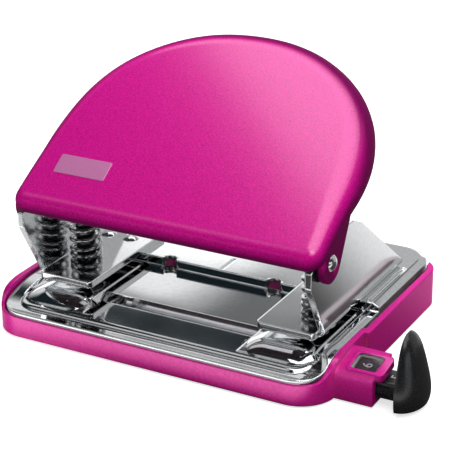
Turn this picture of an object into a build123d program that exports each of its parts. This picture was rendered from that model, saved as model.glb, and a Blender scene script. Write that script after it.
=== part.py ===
from build123d import *
import os
from math import atan2, cos, degrees, radians, sin, tan

# Two-hole desk punch.  Millimetres, +Z up.  The origin is on the table, in the
# punch's mid-plane, straight below the line through the two punch pins.
# +X is to the user's right, +Y away from the user.  Paper goes in from -Y.

# ---- driving dimensions ------------------------------------------------------
hole_spacing = 80.0          # standard distance between the two punched holes
hole_setback = 12.4          # paper edge to hole centre
pin_radius = 3.0
run_fit = 0.05               # radial clearance where one piece runs in another
seat_fit = 0.02              # radial clearance of a shank fixed in its hole

# non-slip mat and plastic chip tray
mat_thickness = 1.2
mat_recess = 0.6
mat_length = 96.0
mat_depth = 70.0
mat_corner = 6.0
mat_gap = 0.15
tray_floor = 1.6
tray_gap = 0.6               # between the pressing's edge and the tray's side walls
tray_front_y = -31.8
tray_rear_y = 53.5
tray_step = 1.4              # the sides step out by this much behind tray_step_y
tray_step_y = -2.0
tray_front_corner = 11.0
tray_rear_corner = 8.0
tray_wall = 1.8
tray_rear_wall = 2.0
tray_rise = (2.5, 7.8, 17.8) # where the top line starts, is half up and ends, from the front
tray_front_z = 6.9           # top of the low front wall
tray_side_z = 12.2           # top of the side walls
tray_clearance = 0.2         # below the pressing's side, where the tray passes under it
tray_front_cavity_corner = 7.0
tray_rear_cavity_corner = 6.0

# chromed base pressing
base_sheet = 1.2
base_margin = 4.7            # the pressing's edge stands out from the brackets
base_front_y = -31.0
base_rear_y = 59.0
base_front_corner = 9.0
base_rear_corner = 10.0
flange_front_z = 8.1         # outer flange: low in front, stepping up at the sides
flange_rear_z = 11.2
apron_margin = 3.7           # width of the side flange beside the apron
apron_front_y = -27.6
apron_z = 9.3
apron_corner = 7.0
apron_edge = 1.5
pocket_margin = 4.2
slope_front_y = -14.2        # short ramp from the apron up to the paper bed
slope_rear_y = -10.2
bed_z = 10.6
pad_rise = 0.3               # die pads stand a little above the bed
pad_inner = 14.0             # from the pin to the pad's inner and outer foot
pad_outer = 8.6
pad_front_y = -24.4
pad_shoulder_y = -13.0       # in front of this the pad's top curves down
pad_nose_radius = 41.0
pad_inner_corner = 5.5
pad_outer_corner = 8.0
pad_taper = 35.0
platform_front_y = 13.8
platform_z = 13.6
platform_slope_width = 2.2   # sloping band between the flat top and the upright side
platform_slope_rise = 1.0
platform_crease = 0.5        # rounding of the two creases along the band
groove_margin = 0.4          # stamped groove beside each bracket wall
groove_width = 1.3
groove_depth = 0.5
groove_front_y = 15.5
groove_rear_y = 41.5
stop_tab_x = 18.3
stop_tab_radius = 2.35
stop_tab_thickness = 1.0
stop_tab_sink = 0.25         # the tongue's half disc is centred this far below the bed
scallop_radius = 2.4
mark_width = 0.8
mark_length = 9.0
mark_depth = 0.25

# bent steel brackets
bracket_sheet = 2.0
bracket_reach = 8.5          # from the pin to the bracket wall's outside
bracket_flange = 12.0        # from the pin to the flange's inner edge
bracket_front_y = -16.5
bracket_rear_y = 28.0
bracket_bend = 2.6           # outside bend radius
bracket_corner = 1.5
bracket_length = 60.0
# the wall's side view, measured from the pivot: (to the rear, up)
wall_shape = (
    (-8.3, -5.3),
    (-8.3, -0.9),
    (-6.3, 0.5),
    (-3.4, 4.2),
    (0.0, 5.6),
    (19.6, 5.0),
    (25.2, 2.3),
)
wall_front_foot = 2.9        # behind the flange's front edge
wall_rear_foot = 57.2        # behind the pivot
rivet_y = 18.0
rivet_steps = (-5.0, 3.2)    # to both sides of the pin
rivet_radius = 1.5
rivet_head_radius = 2.6

# handle cover
handle_tilt = 33.0           # slope of the cover at rest, degrees
handle_sheet = 1.5
handle_play = 0.2            # between the pivot washer and the cover's ear
handle_length = 76.0         # along the slope
handle_corner = 5.0
handle_edge = 3.2            # rounding where the face turns into the rim
rim_depth = 4.6
handle_front_y = -25.5       # front lower corner of the face
handle_front_z = 41.5
pivot_y = -14.6
pivot_z = 37.8
ear_radius = 6.0
ear_rear = 27.0              # along the slope, where the ear runs out into the rim
pivot_radius = 2.0
pivot_head_radius = 2.4
pivot_head = 1.2
pivot_washer = 0.6
pivot_washer_radius = 3.2

# channel under the cover that carries the press bar
yoke_sheet = 2.0
yoke_half = 33.0
yoke_length = 18.0
yoke_front = 6.0             # from the press bar to the channel's lower end
yoke_cheek = 4.6

# punch pins, springs and dies
pin_bottom_z = 13.8
pin_top_z = 39.6
press_bar_radius = 2.5
press_bar_half = 44.4
press_gap = 0.06             # press bar to pin head at rest
spring_radius = 4.65         # mean coil radius
spring_wire = 1.05
spring_turns = 6.5
spring_length = 20.0
spring_washer = 1.2
spring_washer_radius = 5.5
clip_thickness = 0.8
clip_radius = 4.3
die_radius = 5.0
die_lip = 1.2
die_lip_radius = 6.0
die_height = 3.4

# sliding paper guide
guide_front_y = -19.5
guide_rear_y = -11.0
guide_bottom_z = 2.4
guide_top_z = 7.8
guide_length = 115.0
guide_face_x = 74.0          # stop face at the smallest paper setting
guide_gap = 0.2
housing_end_x = 67.0
housing_front_y = -22.0
housing_rear_y = -8.8
housing_front_z = 8.3
housing_slope_front = (-20.3, 9.6)
housing_slope_rear = (-11.5, 11.2)
window_x = (58.0, 69.4)
window_frame = 1.7
window_end_frame = 3.1       # wider border on the stop's side
window_rise = 0.7
window_depth = 9.4           # up the housing's slope
window_middle = 4.1
window_corner = 1.5
lens_corner = 1.2
lens_thickness = 1.0
lens_seat = 0.6              # ledge the lens rests on
lens_set = 0.2               # how far the lens sits below the frame
rib = 0.6
rib_height = 4.0
rib_end = 46.0
stop_height = 22.2
stop_bottom = 1.4
stop_y = -14.8
# the stop's horizontal sections: height, half width, depth behind the flat face
stop_sections = (
    (stop_bottom, 8.6, 6.0),
    (4.0, 9.1, 6.5),
    (11.0, 8.1, 5.4),
    (16.5, 6.4, 4.0),
    (20.5, 4.2, 2.3),
    (stop_height, 1.2, 0.6),
)
spigot_length = 4.0
spigot_margin = 1.2

# tray hinge
hinge_setback = 1.5          # hinge line behind the tray's rear wall
hinge_z = 10.1
hinge_pin_radius = 0.8
hinge_knuckle_radius = 1.9
hinge_x = 32.0
hinge_lug_width = 8.0
hinge_knuckle_width = 4.0
hinge_gap = 0.3

# ---- derived sizes -----------------------------------------------------------
hinge_y = tray_rear_y + hinge_setback
pin_x = hole_spacing / 2
bracket_outer_x = pin_x + bracket_reach
bracket_inner_x = pin_x - bracket_flange
handle_half = bracket_outer_x + pivot_washer + handle_play + handle_sheet
base_half = bracket_outer_x + base_margin
apron_half = base_half - apron_margin
pocket_half = base_half - pocket_margin
tray_front_half = base_half + tray_gap + tray_wall
tray_rear_half = tray_front_half + tray_step
tray_bottom_z = mat_thickness - mat_recess
tray_inside_z = tray_bottom_z + tray_floor
flange_top_z = platform_z + bracket_sheet
pad_z = bed_z + pad_rise
bracket_wall_x = bracket_outer_x - bracket_sheet
handle_inner_x = handle_half - handle_sheet
press_bar_z = pin_top_z + press_gap + press_bar_radius
spring_top_z = flange_top_z + spring_length
sides = (("left", -1), ("right", 1))

# The handle's own plane: X along the punch, Y up the slope, Z out of the face.
tilt = radians(handle_tilt)
handle_plane = Plane(
    origin=(0, handle_front_y, handle_front_z),
    x_dir=(1, 0, 0),
    z_dir=(0, -sin(tilt), cos(tilt)),
)


def on_handle(y, z):
    """Distance up the slope and height above the face, for a point of the side view."""
    dy = y - handle_front_y
    dz = z - handle_front_z
    return dy * cos(tilt) + dz * sin(tilt), dz * cos(tilt) - dy * sin(tilt)


def finish(piece, name):
    """Label a finished piece and write its STEP file."""
    piece.part.label = name
    export_step(piece.part, f"parts/{name}.step")


def yz_prism(points, half):
    """Solid of a side-view outline, the same distance to both sides of the mid-plane."""
    with BuildPart() as prism:
        with BuildSketch(Plane.YZ):
            with BuildLine():
                Polyline(*points, close=True)
            make_face()
        extrude(amount=half, both=True)
    return prism.part


def plan_outline(half, front_y, rear_y, front_corner, rear_corner):
    """Plan view of a block: its front and its rear corners have their own radius."""
    with BuildSketch(Plane.XY) as outline:
        with Locations((0, (front_y + rear_y) / 2)):
            Rectangle(2 * half, rear_y - front_y)
        fillet(outline.vertices().sort_by(Axis.Y)[-2:], rear_corner)
        fillet(outline.vertices().sort_by(Axis.Y)[:2], front_corner)
    return outline.sketch


# ---- base pressing -----------------------------------------------------------
def flange_form(wall, grow):
    """Everything under the outer flange's face, lowered by wall."""
    low = flange_front_z - wall
    high = flange_rear_z - wall
    with BuildPart() as form:
        with BuildSketch(Plane.YZ):
            with BuildLine():
                rise = Spline(
                    (apron_front_y - 1, low),
                    ((apron_front_y + slope_rear_y) / 2, (low + high) / 2 + 0.3),
                    (slope_rear_y, high),
                    tangents=((1, 0), (1, 0)),
                )
                Polyline(
                    rise @ 1,
                    (base_rear_y + grow, high),
                    (base_rear_y + grow, 0),
                    (base_front_y - grow, 0),
                    (base_front_y - grow, low),
                    rise @ 0,
                )
            make_face()
        extrude(amount=base_half + grow, both=True)
        outline = plan_outline(
            base_half + grow,
            base_front_y - grow,
            base_rear_y + grow,
            base_front_corner + grow,
            base_rear_corner + grow,
        )
        extrude(to_extrude=outline, amount=flange_rear_z, mode=Mode.INTERSECT)
    return form.part


def raised_block(half, front_y, rear_y, top_z, front_corner, rear_corner, edge):
    """Block with rounded corners and a rounded top edge, standing on Z = 0."""
    outline = plan_outline(half, front_y, rear_y, front_corner, rear_corner)
    with BuildPart() as block:
        extrude(to_extrude=outline, amount=top_z)
        fillet(block.faces().sort_by(Axis.Z)[-1].edges(), edge)
    return block.part


def platform_block(wall):
    """Raised rear of the pressing: a flat top, a sloping band and upright sides."""
    slope = atan2(platform_slope_rise, platform_slope_width)
    rise = platform_slope_rise - wall * (1 - tan(radians(45) - slope / 2))
    outline = plan_outline(
        base_half - wall,
        platform_front_y - base_rear_corner,
        base_rear_y - wall,
        1.0,
        base_rear_corner - wall,
    )
    with BuildPart() as block:
        extrude(to_extrude=outline, amount=platform_z - wall - rise)
        upper = block.faces().sort_by(Axis.Z)[-1]
        extrude(to_extrude=upper, amount=rise, taper=90 - degrees(slope))
        creases = block.edges().filter_by_position(
            Axis.Z, platform_z - wall - rise, platform_z - wall
        )
        fillet(creases.filter_by(lambda edge: abs((edge % 0.5).Z) < 0.01), platform_crease)
        with Locations((0, platform_front_y + wall, 0)):
            Box(
                2 * base_half,
                2 * base_rear_corner,
                2 * platform_z,
                align=(Align.CENTER, Align.MAX, Align.MIN),
                mode=Mode.SUBTRACT,
            )
    return block.part


def die_pad(side, wall):
    """Pad that carries a die: sloping sides, and a top that curves down to the front."""
    inner = pin_x - pad_inner + wall
    outer = pin_x + pad_outer - wall
    front_y = pad_front_y + wall
    top_z = pad_z - wall
    low_z = apron_z - wall - 0.2
    with BuildPart() as pad:
        with BuildSketch(Plane.XY.offset(low_z)) as outline:
            with Locations((side * (inner + outer) / 2, (front_y + platform_front_y) / 2)):
                Rectangle(outer - inner, platform_front_y - front_y)
            front = outline.vertices().sort_by(Axis.Y)[:2].sort_by(Axis.X)[::side]
            fillet(front[1], pad_outer_corner - wall)
            fillet(front[0], pad_inner_corner - wall)
        extrude(amount=top_z - low_z, taper=pad_taper)
        with BuildSketch(Plane.YZ):
            with BuildLine():
                nose = JernArc((pad_shoulder_y, top_z), (-1, 0), pad_nose_radius - wall, 25)
                Polyline(
                    nose @ 1,
                    ((nose @ 1).X, 0),
                    (platform_front_y, 0),
                    (platform_front_y, top_z),
                    nose @ 0,
                )
            make_face()
        extrude(amount=base_half, both=True, mode=Mode.INTERSECT)
    return pad.part


def base_form(wall, grow):
    """Everything under the pressing's top face (wall = 0) or under its lower face."""
    pocket = yz_prism(
        (
            (apron_front_y + 3, apron_z - wall),
            (slope_front_y, apron_z - wall),
            (slope_rear_y, bed_z - wall),
            (platform_front_y + wall, bed_z - wall),
            (platform_front_y + wall, platform_z + 5),
            (apron_front_y + 3, platform_z + 5),
        ),
        pocket_half + wall,
    )
    with BuildPart() as form:
        add(flange_form(wall, grow))
        add(
            raised_block(
                apron_half - wall,
                apron_front_y + wall,
                platform_front_y,
                apron_z - wall,
                apron_corner - wall,
                1.0,
                apron_edge,
            )
        )
        add(pocket, mode=Mode.SUBTRACT)
        add(platform_block(wall))
        for _, side in sides:
            add(die_pad(side, wall))
    return form.part


def hinge_lug():
    """Rolled lug under the pressing's rear edge that holds the tray's hinge pin."""
    lug_height = platform_z - base_sheet / 2 - hinge_z
    with BuildPart() as lug:
        with BuildSketch(Plane.YZ):
            with Locations((hinge_y, hinge_z)):
                Circle(hinge_knuckle_radius)
            with Locations((hinge_y, hinge_z + lug_height / 2)):
                Rectangle(base_sheet, lug_height)
            with Locations((hinge_y, hinge_z)):
                Circle(hinge_pin_radius + seat_fit, mode=Mode.SUBTRACT)
        extrude(amount=hinge_lug_width / 2, both=True)
    return lug.part


with BuildPart() as base_plate:
    add(base_form(0.0, 0.0))
    add(base_form(base_sheet, 1.0), mode=Mode.SUBTRACT)
    with Locations((-hinge_x, 0, 0), (hinge_x, 0, 0)):
        add(hinge_lug())
    # half-round paper stops standing on the bed, and the scallops lanced out for them
    with BuildSketch(Plane.XZ.offset(-hole_setback)):
        with Locations(*[(side * stop_tab_x, bed_z - stop_tab_sink) for _, side in sides]):
            Circle(stop_tab_radius)
        with Locations((0, bed_z - base_sheet / 2 - stop_tab_radius)):
            Rectangle(4 * stop_tab_x, 2 * stop_tab_radius, mode=Mode.SUBTRACT)
    extrude(amount=-stop_tab_thickness)
    with BuildSketch(Plane.XY.offset(platform_z)):
        with Locations((-stop_tab_x, platform_front_y), (stop_tab_x, platform_front_y)):
            Circle(scallop_radius)
    extrude(amount=bed_z - platform_z, mode=Mode.SUBTRACT)
    # holes for the dies and the bracket rivets
    with Locations((-pin_x, 0, pad_z), (pin_x, 0, pad_z)):
        Hole(die_radius + seat_fit)
    rivet_spots = [(side * (pin_x + step), rivet_y) for _, side in sides for step in rivet_steps]
    with Locations(*[(x, y, platform_z) for x, y in rivet_spots]):
        Hole(rivet_radius + seat_fit)
    # centre mark, and the groove beside each bracket, stamped into the platform
    with BuildSketch(Plane.XY.offset(platform_z)):
        with Locations((0, platform_front_y + (mark_length + mark_width) / 2)):
            Rectangle(mark_width, mark_length)
    extrude(amount=-mark_depth, mode=Mode.SUBTRACT)
    groove_x = bracket_outer_x + groove_margin + groove_width / 2
    with BuildSketch(Plane.XY.offset(platform_z)):
        with Locations(*[(side * groove_x, (groove_front_y + groove_rear_y) / 2) for _, side in sides]):
            SlotOverall(groove_rear_y - groove_front_y, groove_width, rotation=90)
    extrude(amount=-groove_depth, mode=Mode.SUBTRACT)

os.makedirs("parts", exist_ok=True)
finish(base_plate, "base_plate")

# ---- dies --------------------------------------------------------------------
for name, side in sides:
    with BuildPart() as die:
        with BuildSketch(Plane.XY.offset(pad_z - die_height)):
            with Locations((side * pin_x, 0)):
                Circle(die_radius)
        extrude(amount=die_height)
        with BuildSketch(Plane.XY.offset(pad_z - base_sheet - die_lip)):
            with Locations((side * pin_x, 0)):
                Circle(die_lip_radius)
        extrude(amount=die_lip)
        with Locations((side * pin_x, 0, pad_z)):
            Hole(pin_radius + run_fit)
    finish(die, f"{name}_die")

# ---- brackets ----------------------------------------------------------------
# Side view of the upright wall: it leans forward to the pivot, is rounded over
# it, and slopes down to the rear.
wall_points = (
    (bracket_front_y + wall_front_foot, platform_z),
    (bracket_front_y + wall_front_foot, flange_top_z),
    *[(pivot_y + back, pivot_z + up) for back, up in wall_shape],
    (pivot_y + wall_rear_foot, flange_top_z),
    (pivot_y + wall_rear_foot, platform_z),
)


def bracket_blank(side):
    """The bent L-section, longer than the finished bracket."""
    with BuildPart() as blank:
        with BuildSketch(Plane.XZ) as section:
            with BuildLine():
                Polyline(
                    (side * bracket_inner_x, platform_z),
                    (side * bracket_outer_x, platform_z),
                    (side * bracket_outer_x, pivot_z + 10),
                    (side * bracket_wall_x, pivot_z + 10),
                    (side * bracket_wall_x, flange_top_z),
                    (side * bracket_inner_x, flange_top_z),
                    close=True,
                )
            make_face()
            outside = (side * bracket_outer_x, platform_z, 0)
            inside = (side * bracket_wall_x, flange_top_z, 0)
            fillet(section.vertices().sort_by_distance(outside)[0], bracket_bend)
            fillet(section.vertices().sort_by_distance(inside)[0], bracket_bend - bracket_sheet)
        extrude(amount=bracket_length, both=True)
    return blank.part


def bracket_outline(side):
    """What is left of the blank: the flange's rectangle and the wall's side view."""
    with BuildPart() as outline:
        with BuildSketch(Plane.XY.offset(platform_z)):
            middle_x = side * (bracket_inner_x + bracket_wall_x) / 2
            with Locations((middle_x, (bracket_front_y + bracket_rear_y) / 2)):
                RectangleRounded(
                    bracket_wall_x - bracket_inner_x,
                    bracket_rear_y - bracket_front_y,
                    bracket_corner,
                )
        extrude(amount=bracket_sheet)
        with BuildSketch(Plane.YZ.offset(side * (bracket_wall_x - bracket_corner))):
            with BuildLine():
                Polyline(*wall_points, close=True)
            make_face()
        extrude(amount=side * (bracket_sheet + bracket_corner))
    return outline.part


for name, side in sides:
    with BuildPart() as bracket:
        add(bracket_blank(side))
        add(bracket_outline(side), mode=Mode.INTERSECT)
        with Locations(*[(x, y, flange_top_z) for x, y in rivet_spots if x * side > 0]):
            Hole(rivet_radius + seat_fit)
        with Locations((side * pin_x, 0, flange_top_z)):
            Hole(pin_radius + run_fit)
        with Locations(Location((side * bracket_outer_x, pivot_y, pivot_z), (0, 90 * side, 0))):
            Hole(pivot_radius + seat_fit, depth=2 * bracket_sheet)
    finish(bracket, f"{name}_bracket")


# ---- rivets ------------------------------------------------------------------
def round_rivet(radius, head_radius, head_height, bottom_z, top_z, tail_height):
    """Half profile of a dome-headed rivet, turned about its own axis."""
    with BuildPart() as rivet:
        with BuildSketch(Plane.XZ):
            with BuildLine():
                Polyline(
                    (0, top_z + head_height),
                    (0, bottom_z - tail_height),
                    (0.8 * head_radius, bottom_z - tail_height),
                    (0.8 * head_radius, bottom_z),
                    (radius, bottom_z),
                    (radius, top_z),
                    (head_radius, top_z),
                )
                TangentArc((0, top_z + head_height), (head_radius, top_z), tangent=(1, 0))
            make_face()
        revolve(axis=Axis.Z)
    return rivet.part


with BuildPart() as bracket_rivets:
    with Locations(*[(x, y, 0) for x, y in rivet_spots]):
        add(
            round_rivet(
                rivet_radius,
                rivet_head_radius,
                1.1,
                platform_z - base_sheet,
                flange_top_z,
                0.8,
            )
        )
finish(bracket_rivets, "bracket_rivets")

for name, side in sides:
    with BuildPart() as pivot_rivet:
        with Locations(Location((0, pivot_y, pivot_z), (0, 90 * side, 0))):
            add(
                round_rivet(
                    pivot_radius,
                    pivot_head_radius,
                    pivot_head,
                    bracket_wall_x,
                    handle_half + 0.1,
                    1.0,
                )
            )
    finish(pivot_rivet, f"{name}_pivot_rivet")

    with BuildPart() as washer:
        with BuildSketch(Plane.YZ.offset(side * bracket_outer_x)):
            with Locations((pivot_y, pivot_z)):
                Circle(pivot_washer_radius)
                Circle(pivot_radius + run_fit, mode=Mode.SUBTRACT)
        extrude(amount=side * pivot_washer)
    finish(washer, f"{name}_pivot_washer")


# ---- handle cover ------------------------------------------------------------
ear_up, ear_depth = on_handle(pivot_y, pivot_z)


def cover_block(inset, edge):
    """D-shaped block below the handle's face, inset from the cover's outside."""
    half = handle_half - inset
    straight = handle_length - handle_half
    with BuildPart() as block:
        with BuildSketch(handle_plane.offset(-inset)) as outline:
            with BuildLine():
                Polyline((-half, straight), (-half, inset), (half, inset), (half, straight))
                ThreePointArc((half, straight), (0, straight + half), (-half, straight))
            make_face()
            fillet(outline.vertices().sort_by(Axis.Y)[:2], handle_corner - inset)
        extrude(amount=-rim_depth)
        face_axis = Axis(handle_plane.origin, handle_plane.z_dir)
        fillet(block.faces().sort_by(face_axis)[-1].edges(), edge)
    return block.part


def handle_ear(side):
    """Flat ear hanging from the rim, round at the pivot and running out to the rear."""
    inner = side * handle_inner_x
    side_view = Plane(
        origin=handle_plane.origin + Vector(inner, 0, 0),
        x_dir=(0, cos(tilt), sin(tilt)),
        z_dir=(1, 0, 0),
    )
    with BuildPart() as ear:
        with BuildSketch(side_view):
            with Locations((ear_up, ear_depth)):
                Circle(ear_radius)
            with BuildLine():
                Polyline(
                    (ear_up, -rim_depth + 0.5),
                    (ear_up, ear_depth),
                    (ear_up + 0.5 * ear_radius, ear_depth - 0.866 * ear_radius),
                    (ear_rear, -rim_depth),
                    (ear_rear, -rim_depth + 0.5),
                    close=True,
                )
            make_face()
            with Locations((handle_corner / 2, -rim_depth + 5)):
                Rectangle(handle_corner, 10, mode=Mode.SUBTRACT)
            with Locations((ear_up, -rim_depth + 5.5)):
                Rectangle(2 * ear_up, 10, mode=Mode.SUBTRACT)
            with Locations((ear_up, ear_depth)):
                Circle(pivot_radius + run_fit, mode=Mode.SUBTRACT)
        extrude(amount=side * handle_sheet)
    return ear.part


with BuildPart() as handle_cover:
    add(cover_block(0.0, handle_edge))
    add(cover_block(handle_sheet, handle_edge - handle_sheet), mode=Mode.SUBTRACT)
    for _, side in sides:
        add(handle_ear(side))
finish(handle_cover, "handle_cover")

# ---- press yoke and bar --------------------------------------------------------
# The yoke is a channel spot-welded under the handle's face; its two cheeks hold
# the bar that pushes on both pins.
bar_up, bar_depth = on_handle(0, press_bar_z)
with BuildPart() as press_yoke:
    with BuildSketch(handle_plane.offset(-handle_sheet)):
        with Locations((0, bar_up + yoke_length / 2 - yoke_front)):
            RectangleRounded(2 * yoke_half, yoke_length, 2)
    extrude(amount=-yoke_sheet)
    cheek_view = Plane(
        origin=handle_plane.origin + Vector(yoke_half, 0, 0),
        x_dir=(0, cos(tilt), sin(tilt)),
        z_dir=(1, 0, 0),
    )
    with BuildSketch(cheek_view):
        with BuildLine():
            Polyline(
                (bar_up - yoke_front + 1, -handle_sheet),
                (bar_up - yoke_cheek, bar_depth),
                (bar_up + yoke_cheek, bar_depth),
                (bar_up - yoke_front + yoke_length - 1, -handle_sheet - yoke_sheet),
                (bar_up - yoke_front + yoke_length - 1, -handle_sheet),
                close=True,
            )
        make_face()
        with Locations((bar_up, bar_depth)):
            Circle(yoke_cheek)
    extrude(amount=-yoke_sheet)
    with Locations(Location((yoke_half + 1, 0, press_bar_z), (0, 90, 0))):
        Hole(press_bar_radius + seat_fit, depth=4)
    mirror(about=Plane.YZ)
finish(press_yoke, "press_yoke")

with BuildPart() as press_bar:
    with BuildSketch(Plane.YZ):
        with Locations((0, press_bar_z)):
            Circle(press_bar_radius)
    extrude(amount=press_bar_half, both=True)
    chamfer(press_bar.edges().filter_by(GeomType.CIRCLE), 0.4)
finish(press_bar, "press_bar")

# ---- punch pins, washers, clips and springs ------------------------------------
groove_z = spring_top_z + spring_washer
groove_radius = pin_radius - 0.4
for name, side in sides:
    with BuildPart() as pin:
        with BuildSketch(Plane.XZ):
            with BuildLine():
                # the lower end is hollow-ground, so its rim cuts the paper
                Polyline(
                    (0, pin_bottom_z + 1.0),
                    (0, pin_top_z),
                    (pin_radius - 0.4, pin_top_z),
                    (pin_radius, pin_top_z - 0.4),
                    (pin_radius, groove_z + clip_thickness),
                    (groove_radius, groove_z + clip_thickness),
                    (groove_radius, groove_z),
                    (pin_radius, groove_z),
                    (pin_radius, pin_bottom_z),
                    close=True,
                )
            make_face()
        revolve(axis=Axis.Z)
    pin.part = pin.part.moved(Location((side * pin_x, 0, 0)))
    finish(pin, f"{name}_punch_pin")

    with BuildPart() as washer:
        with BuildSketch(Plane.XY.offset(spring_top_z)):
            with Locations((side * pin_x, 0)):
                Circle(spring_washer_radius)
                Circle(pin_radius + seat_fit, mode=Mode.SUBTRACT)
        extrude(amount=spring_washer)
    finish(washer, f"{name}_spring_washer")

    with BuildPart() as clip:
        with BuildSketch(Plane.XY.offset(groove_z)):
            with Locations((side * pin_x, 0)):
                Circle(clip_radius)
                Circle(groove_radius + seat_fit, mode=Mode.SUBTRACT)
            with Locations((side * pin_x, -clip_radius)):
                Rectangle(1.5 * groove_radius, 2 * clip_radius, mode=Mode.SUBTRACT)
        extrude(amount=clip_thickness)
    finish(clip, f"{name}_retaining_clip")

    coil_height = spring_length - spring_wire
    with BuildPart() as spring:
        with BuildLine():
            coil = Helix(
                coil_height / spring_turns,
                coil_height,
                spring_radius,
                center=(side * pin_x, 0, flange_top_z + spring_wire / 2),
            )
        with BuildSketch(Plane(origin=coil @ 0, z_dir=coil % 0)):
            Circle(spring_wire / 2)
        sweep(path=coil, is_frenet=True)
    finish(spring, f"{name}_spring")

# ---- chip tray ---------------------------------------------------------------
tray_middle_y = (tray_front_y + tray_rear_y) / 2


def tray_shell():
    """Tray body before the inside is cut: plan outline under the wall's top line."""
    with BuildPart() as shell:
        with BuildSketch(Plane.XY.offset(tray_bottom_z)) as outline:
            with Locations((0, (tray_front_y + tray_step_y) / 2)):
                Rectangle(2 * tray_front_half, tray_step_y - tray_front_y)
            fillet(outline.vertices().sort_by(Axis.Y)[:2], tray_front_corner)
            with Locations((0, (tray_step_y + tray_rear_y) / 2)):
                Rectangle(2 * tray_rear_half, tray_rear_y - tray_step_y)
            fillet(outline.vertices().sort_by(Axis.Y)[-2:], tray_rear_corner)
        extrude(amount=tray_side_z)
        with BuildSketch(Plane.YZ):
            with BuildLine():
                rise = Spline(
                    (tray_front_y + tray_rise[0], tray_front_z),
                    (tray_front_y + tray_rise[1], (tray_front_z + tray_side_z) / 2),
                    (tray_front_y + tray_rise[2], tray_side_z),
                    tangents=((1, 0), (1, 0)),
                )
                Polyline(
                    rise @ 1,
                    (tray_rear_y + 1, tray_side_z),
                    (tray_rear_y + 1, 0),
                    (tray_front_y - 1, 0),
                    (tray_front_y - 1, tray_front_z),
                    rise @ 0,
                )
            make_face()
        extrude(amount=tray_rear_half + 1, both=True, mode=Mode.INTERSECT)
        # the pressing's rear corners overhang the tray, whose walls end below them
        overhang = plan_outline(
            base_half + tray_gap,
            base_front_y - tray_gap,
            base_rear_y + tray_gap,
            base_front_corner + tray_gap,
            base_rear_corner + tray_gap,
        )
        below = flange_rear_z - base_sheet - tray_clearance
        extrude(
            to_extrude=overhang.moved(Location((0, 0, below))),
            amount=tray_side_z,
            mode=Mode.SUBTRACT,
        )
    return shell.part


def knuckle_spots(offset):
    """Centres of the tray's hinge knuckles, offset to both sides of each lug."""
    return [(side * hinge_x + step, 0, 0) for _, side in sides for step in (-offset, offset)]


window_tilt = atan2(
    housing_slope_rear[1] - housing_slope_front[1],
    housing_slope_rear[0] - housing_slope_front[0],
)
window_plane = Plane(
    origin=(sum(window_x) / 2, *housing_slope_front),
    x_dir=(1, 0, 0),
    z_dir=(0, -sin(window_tilt), cos(window_tilt)),
)
window_width = window_x[1] - window_x[0]
sight_width = window_width - window_frame - window_end_frame
sight_depth = window_depth - 2 * window_frame
sight_middle = ((window_frame - window_end_frame) / 2, window_middle)
knuckle_offset = hinge_lug_width / 2 + hinge_gap + hinge_knuckle_width / 2

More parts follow.
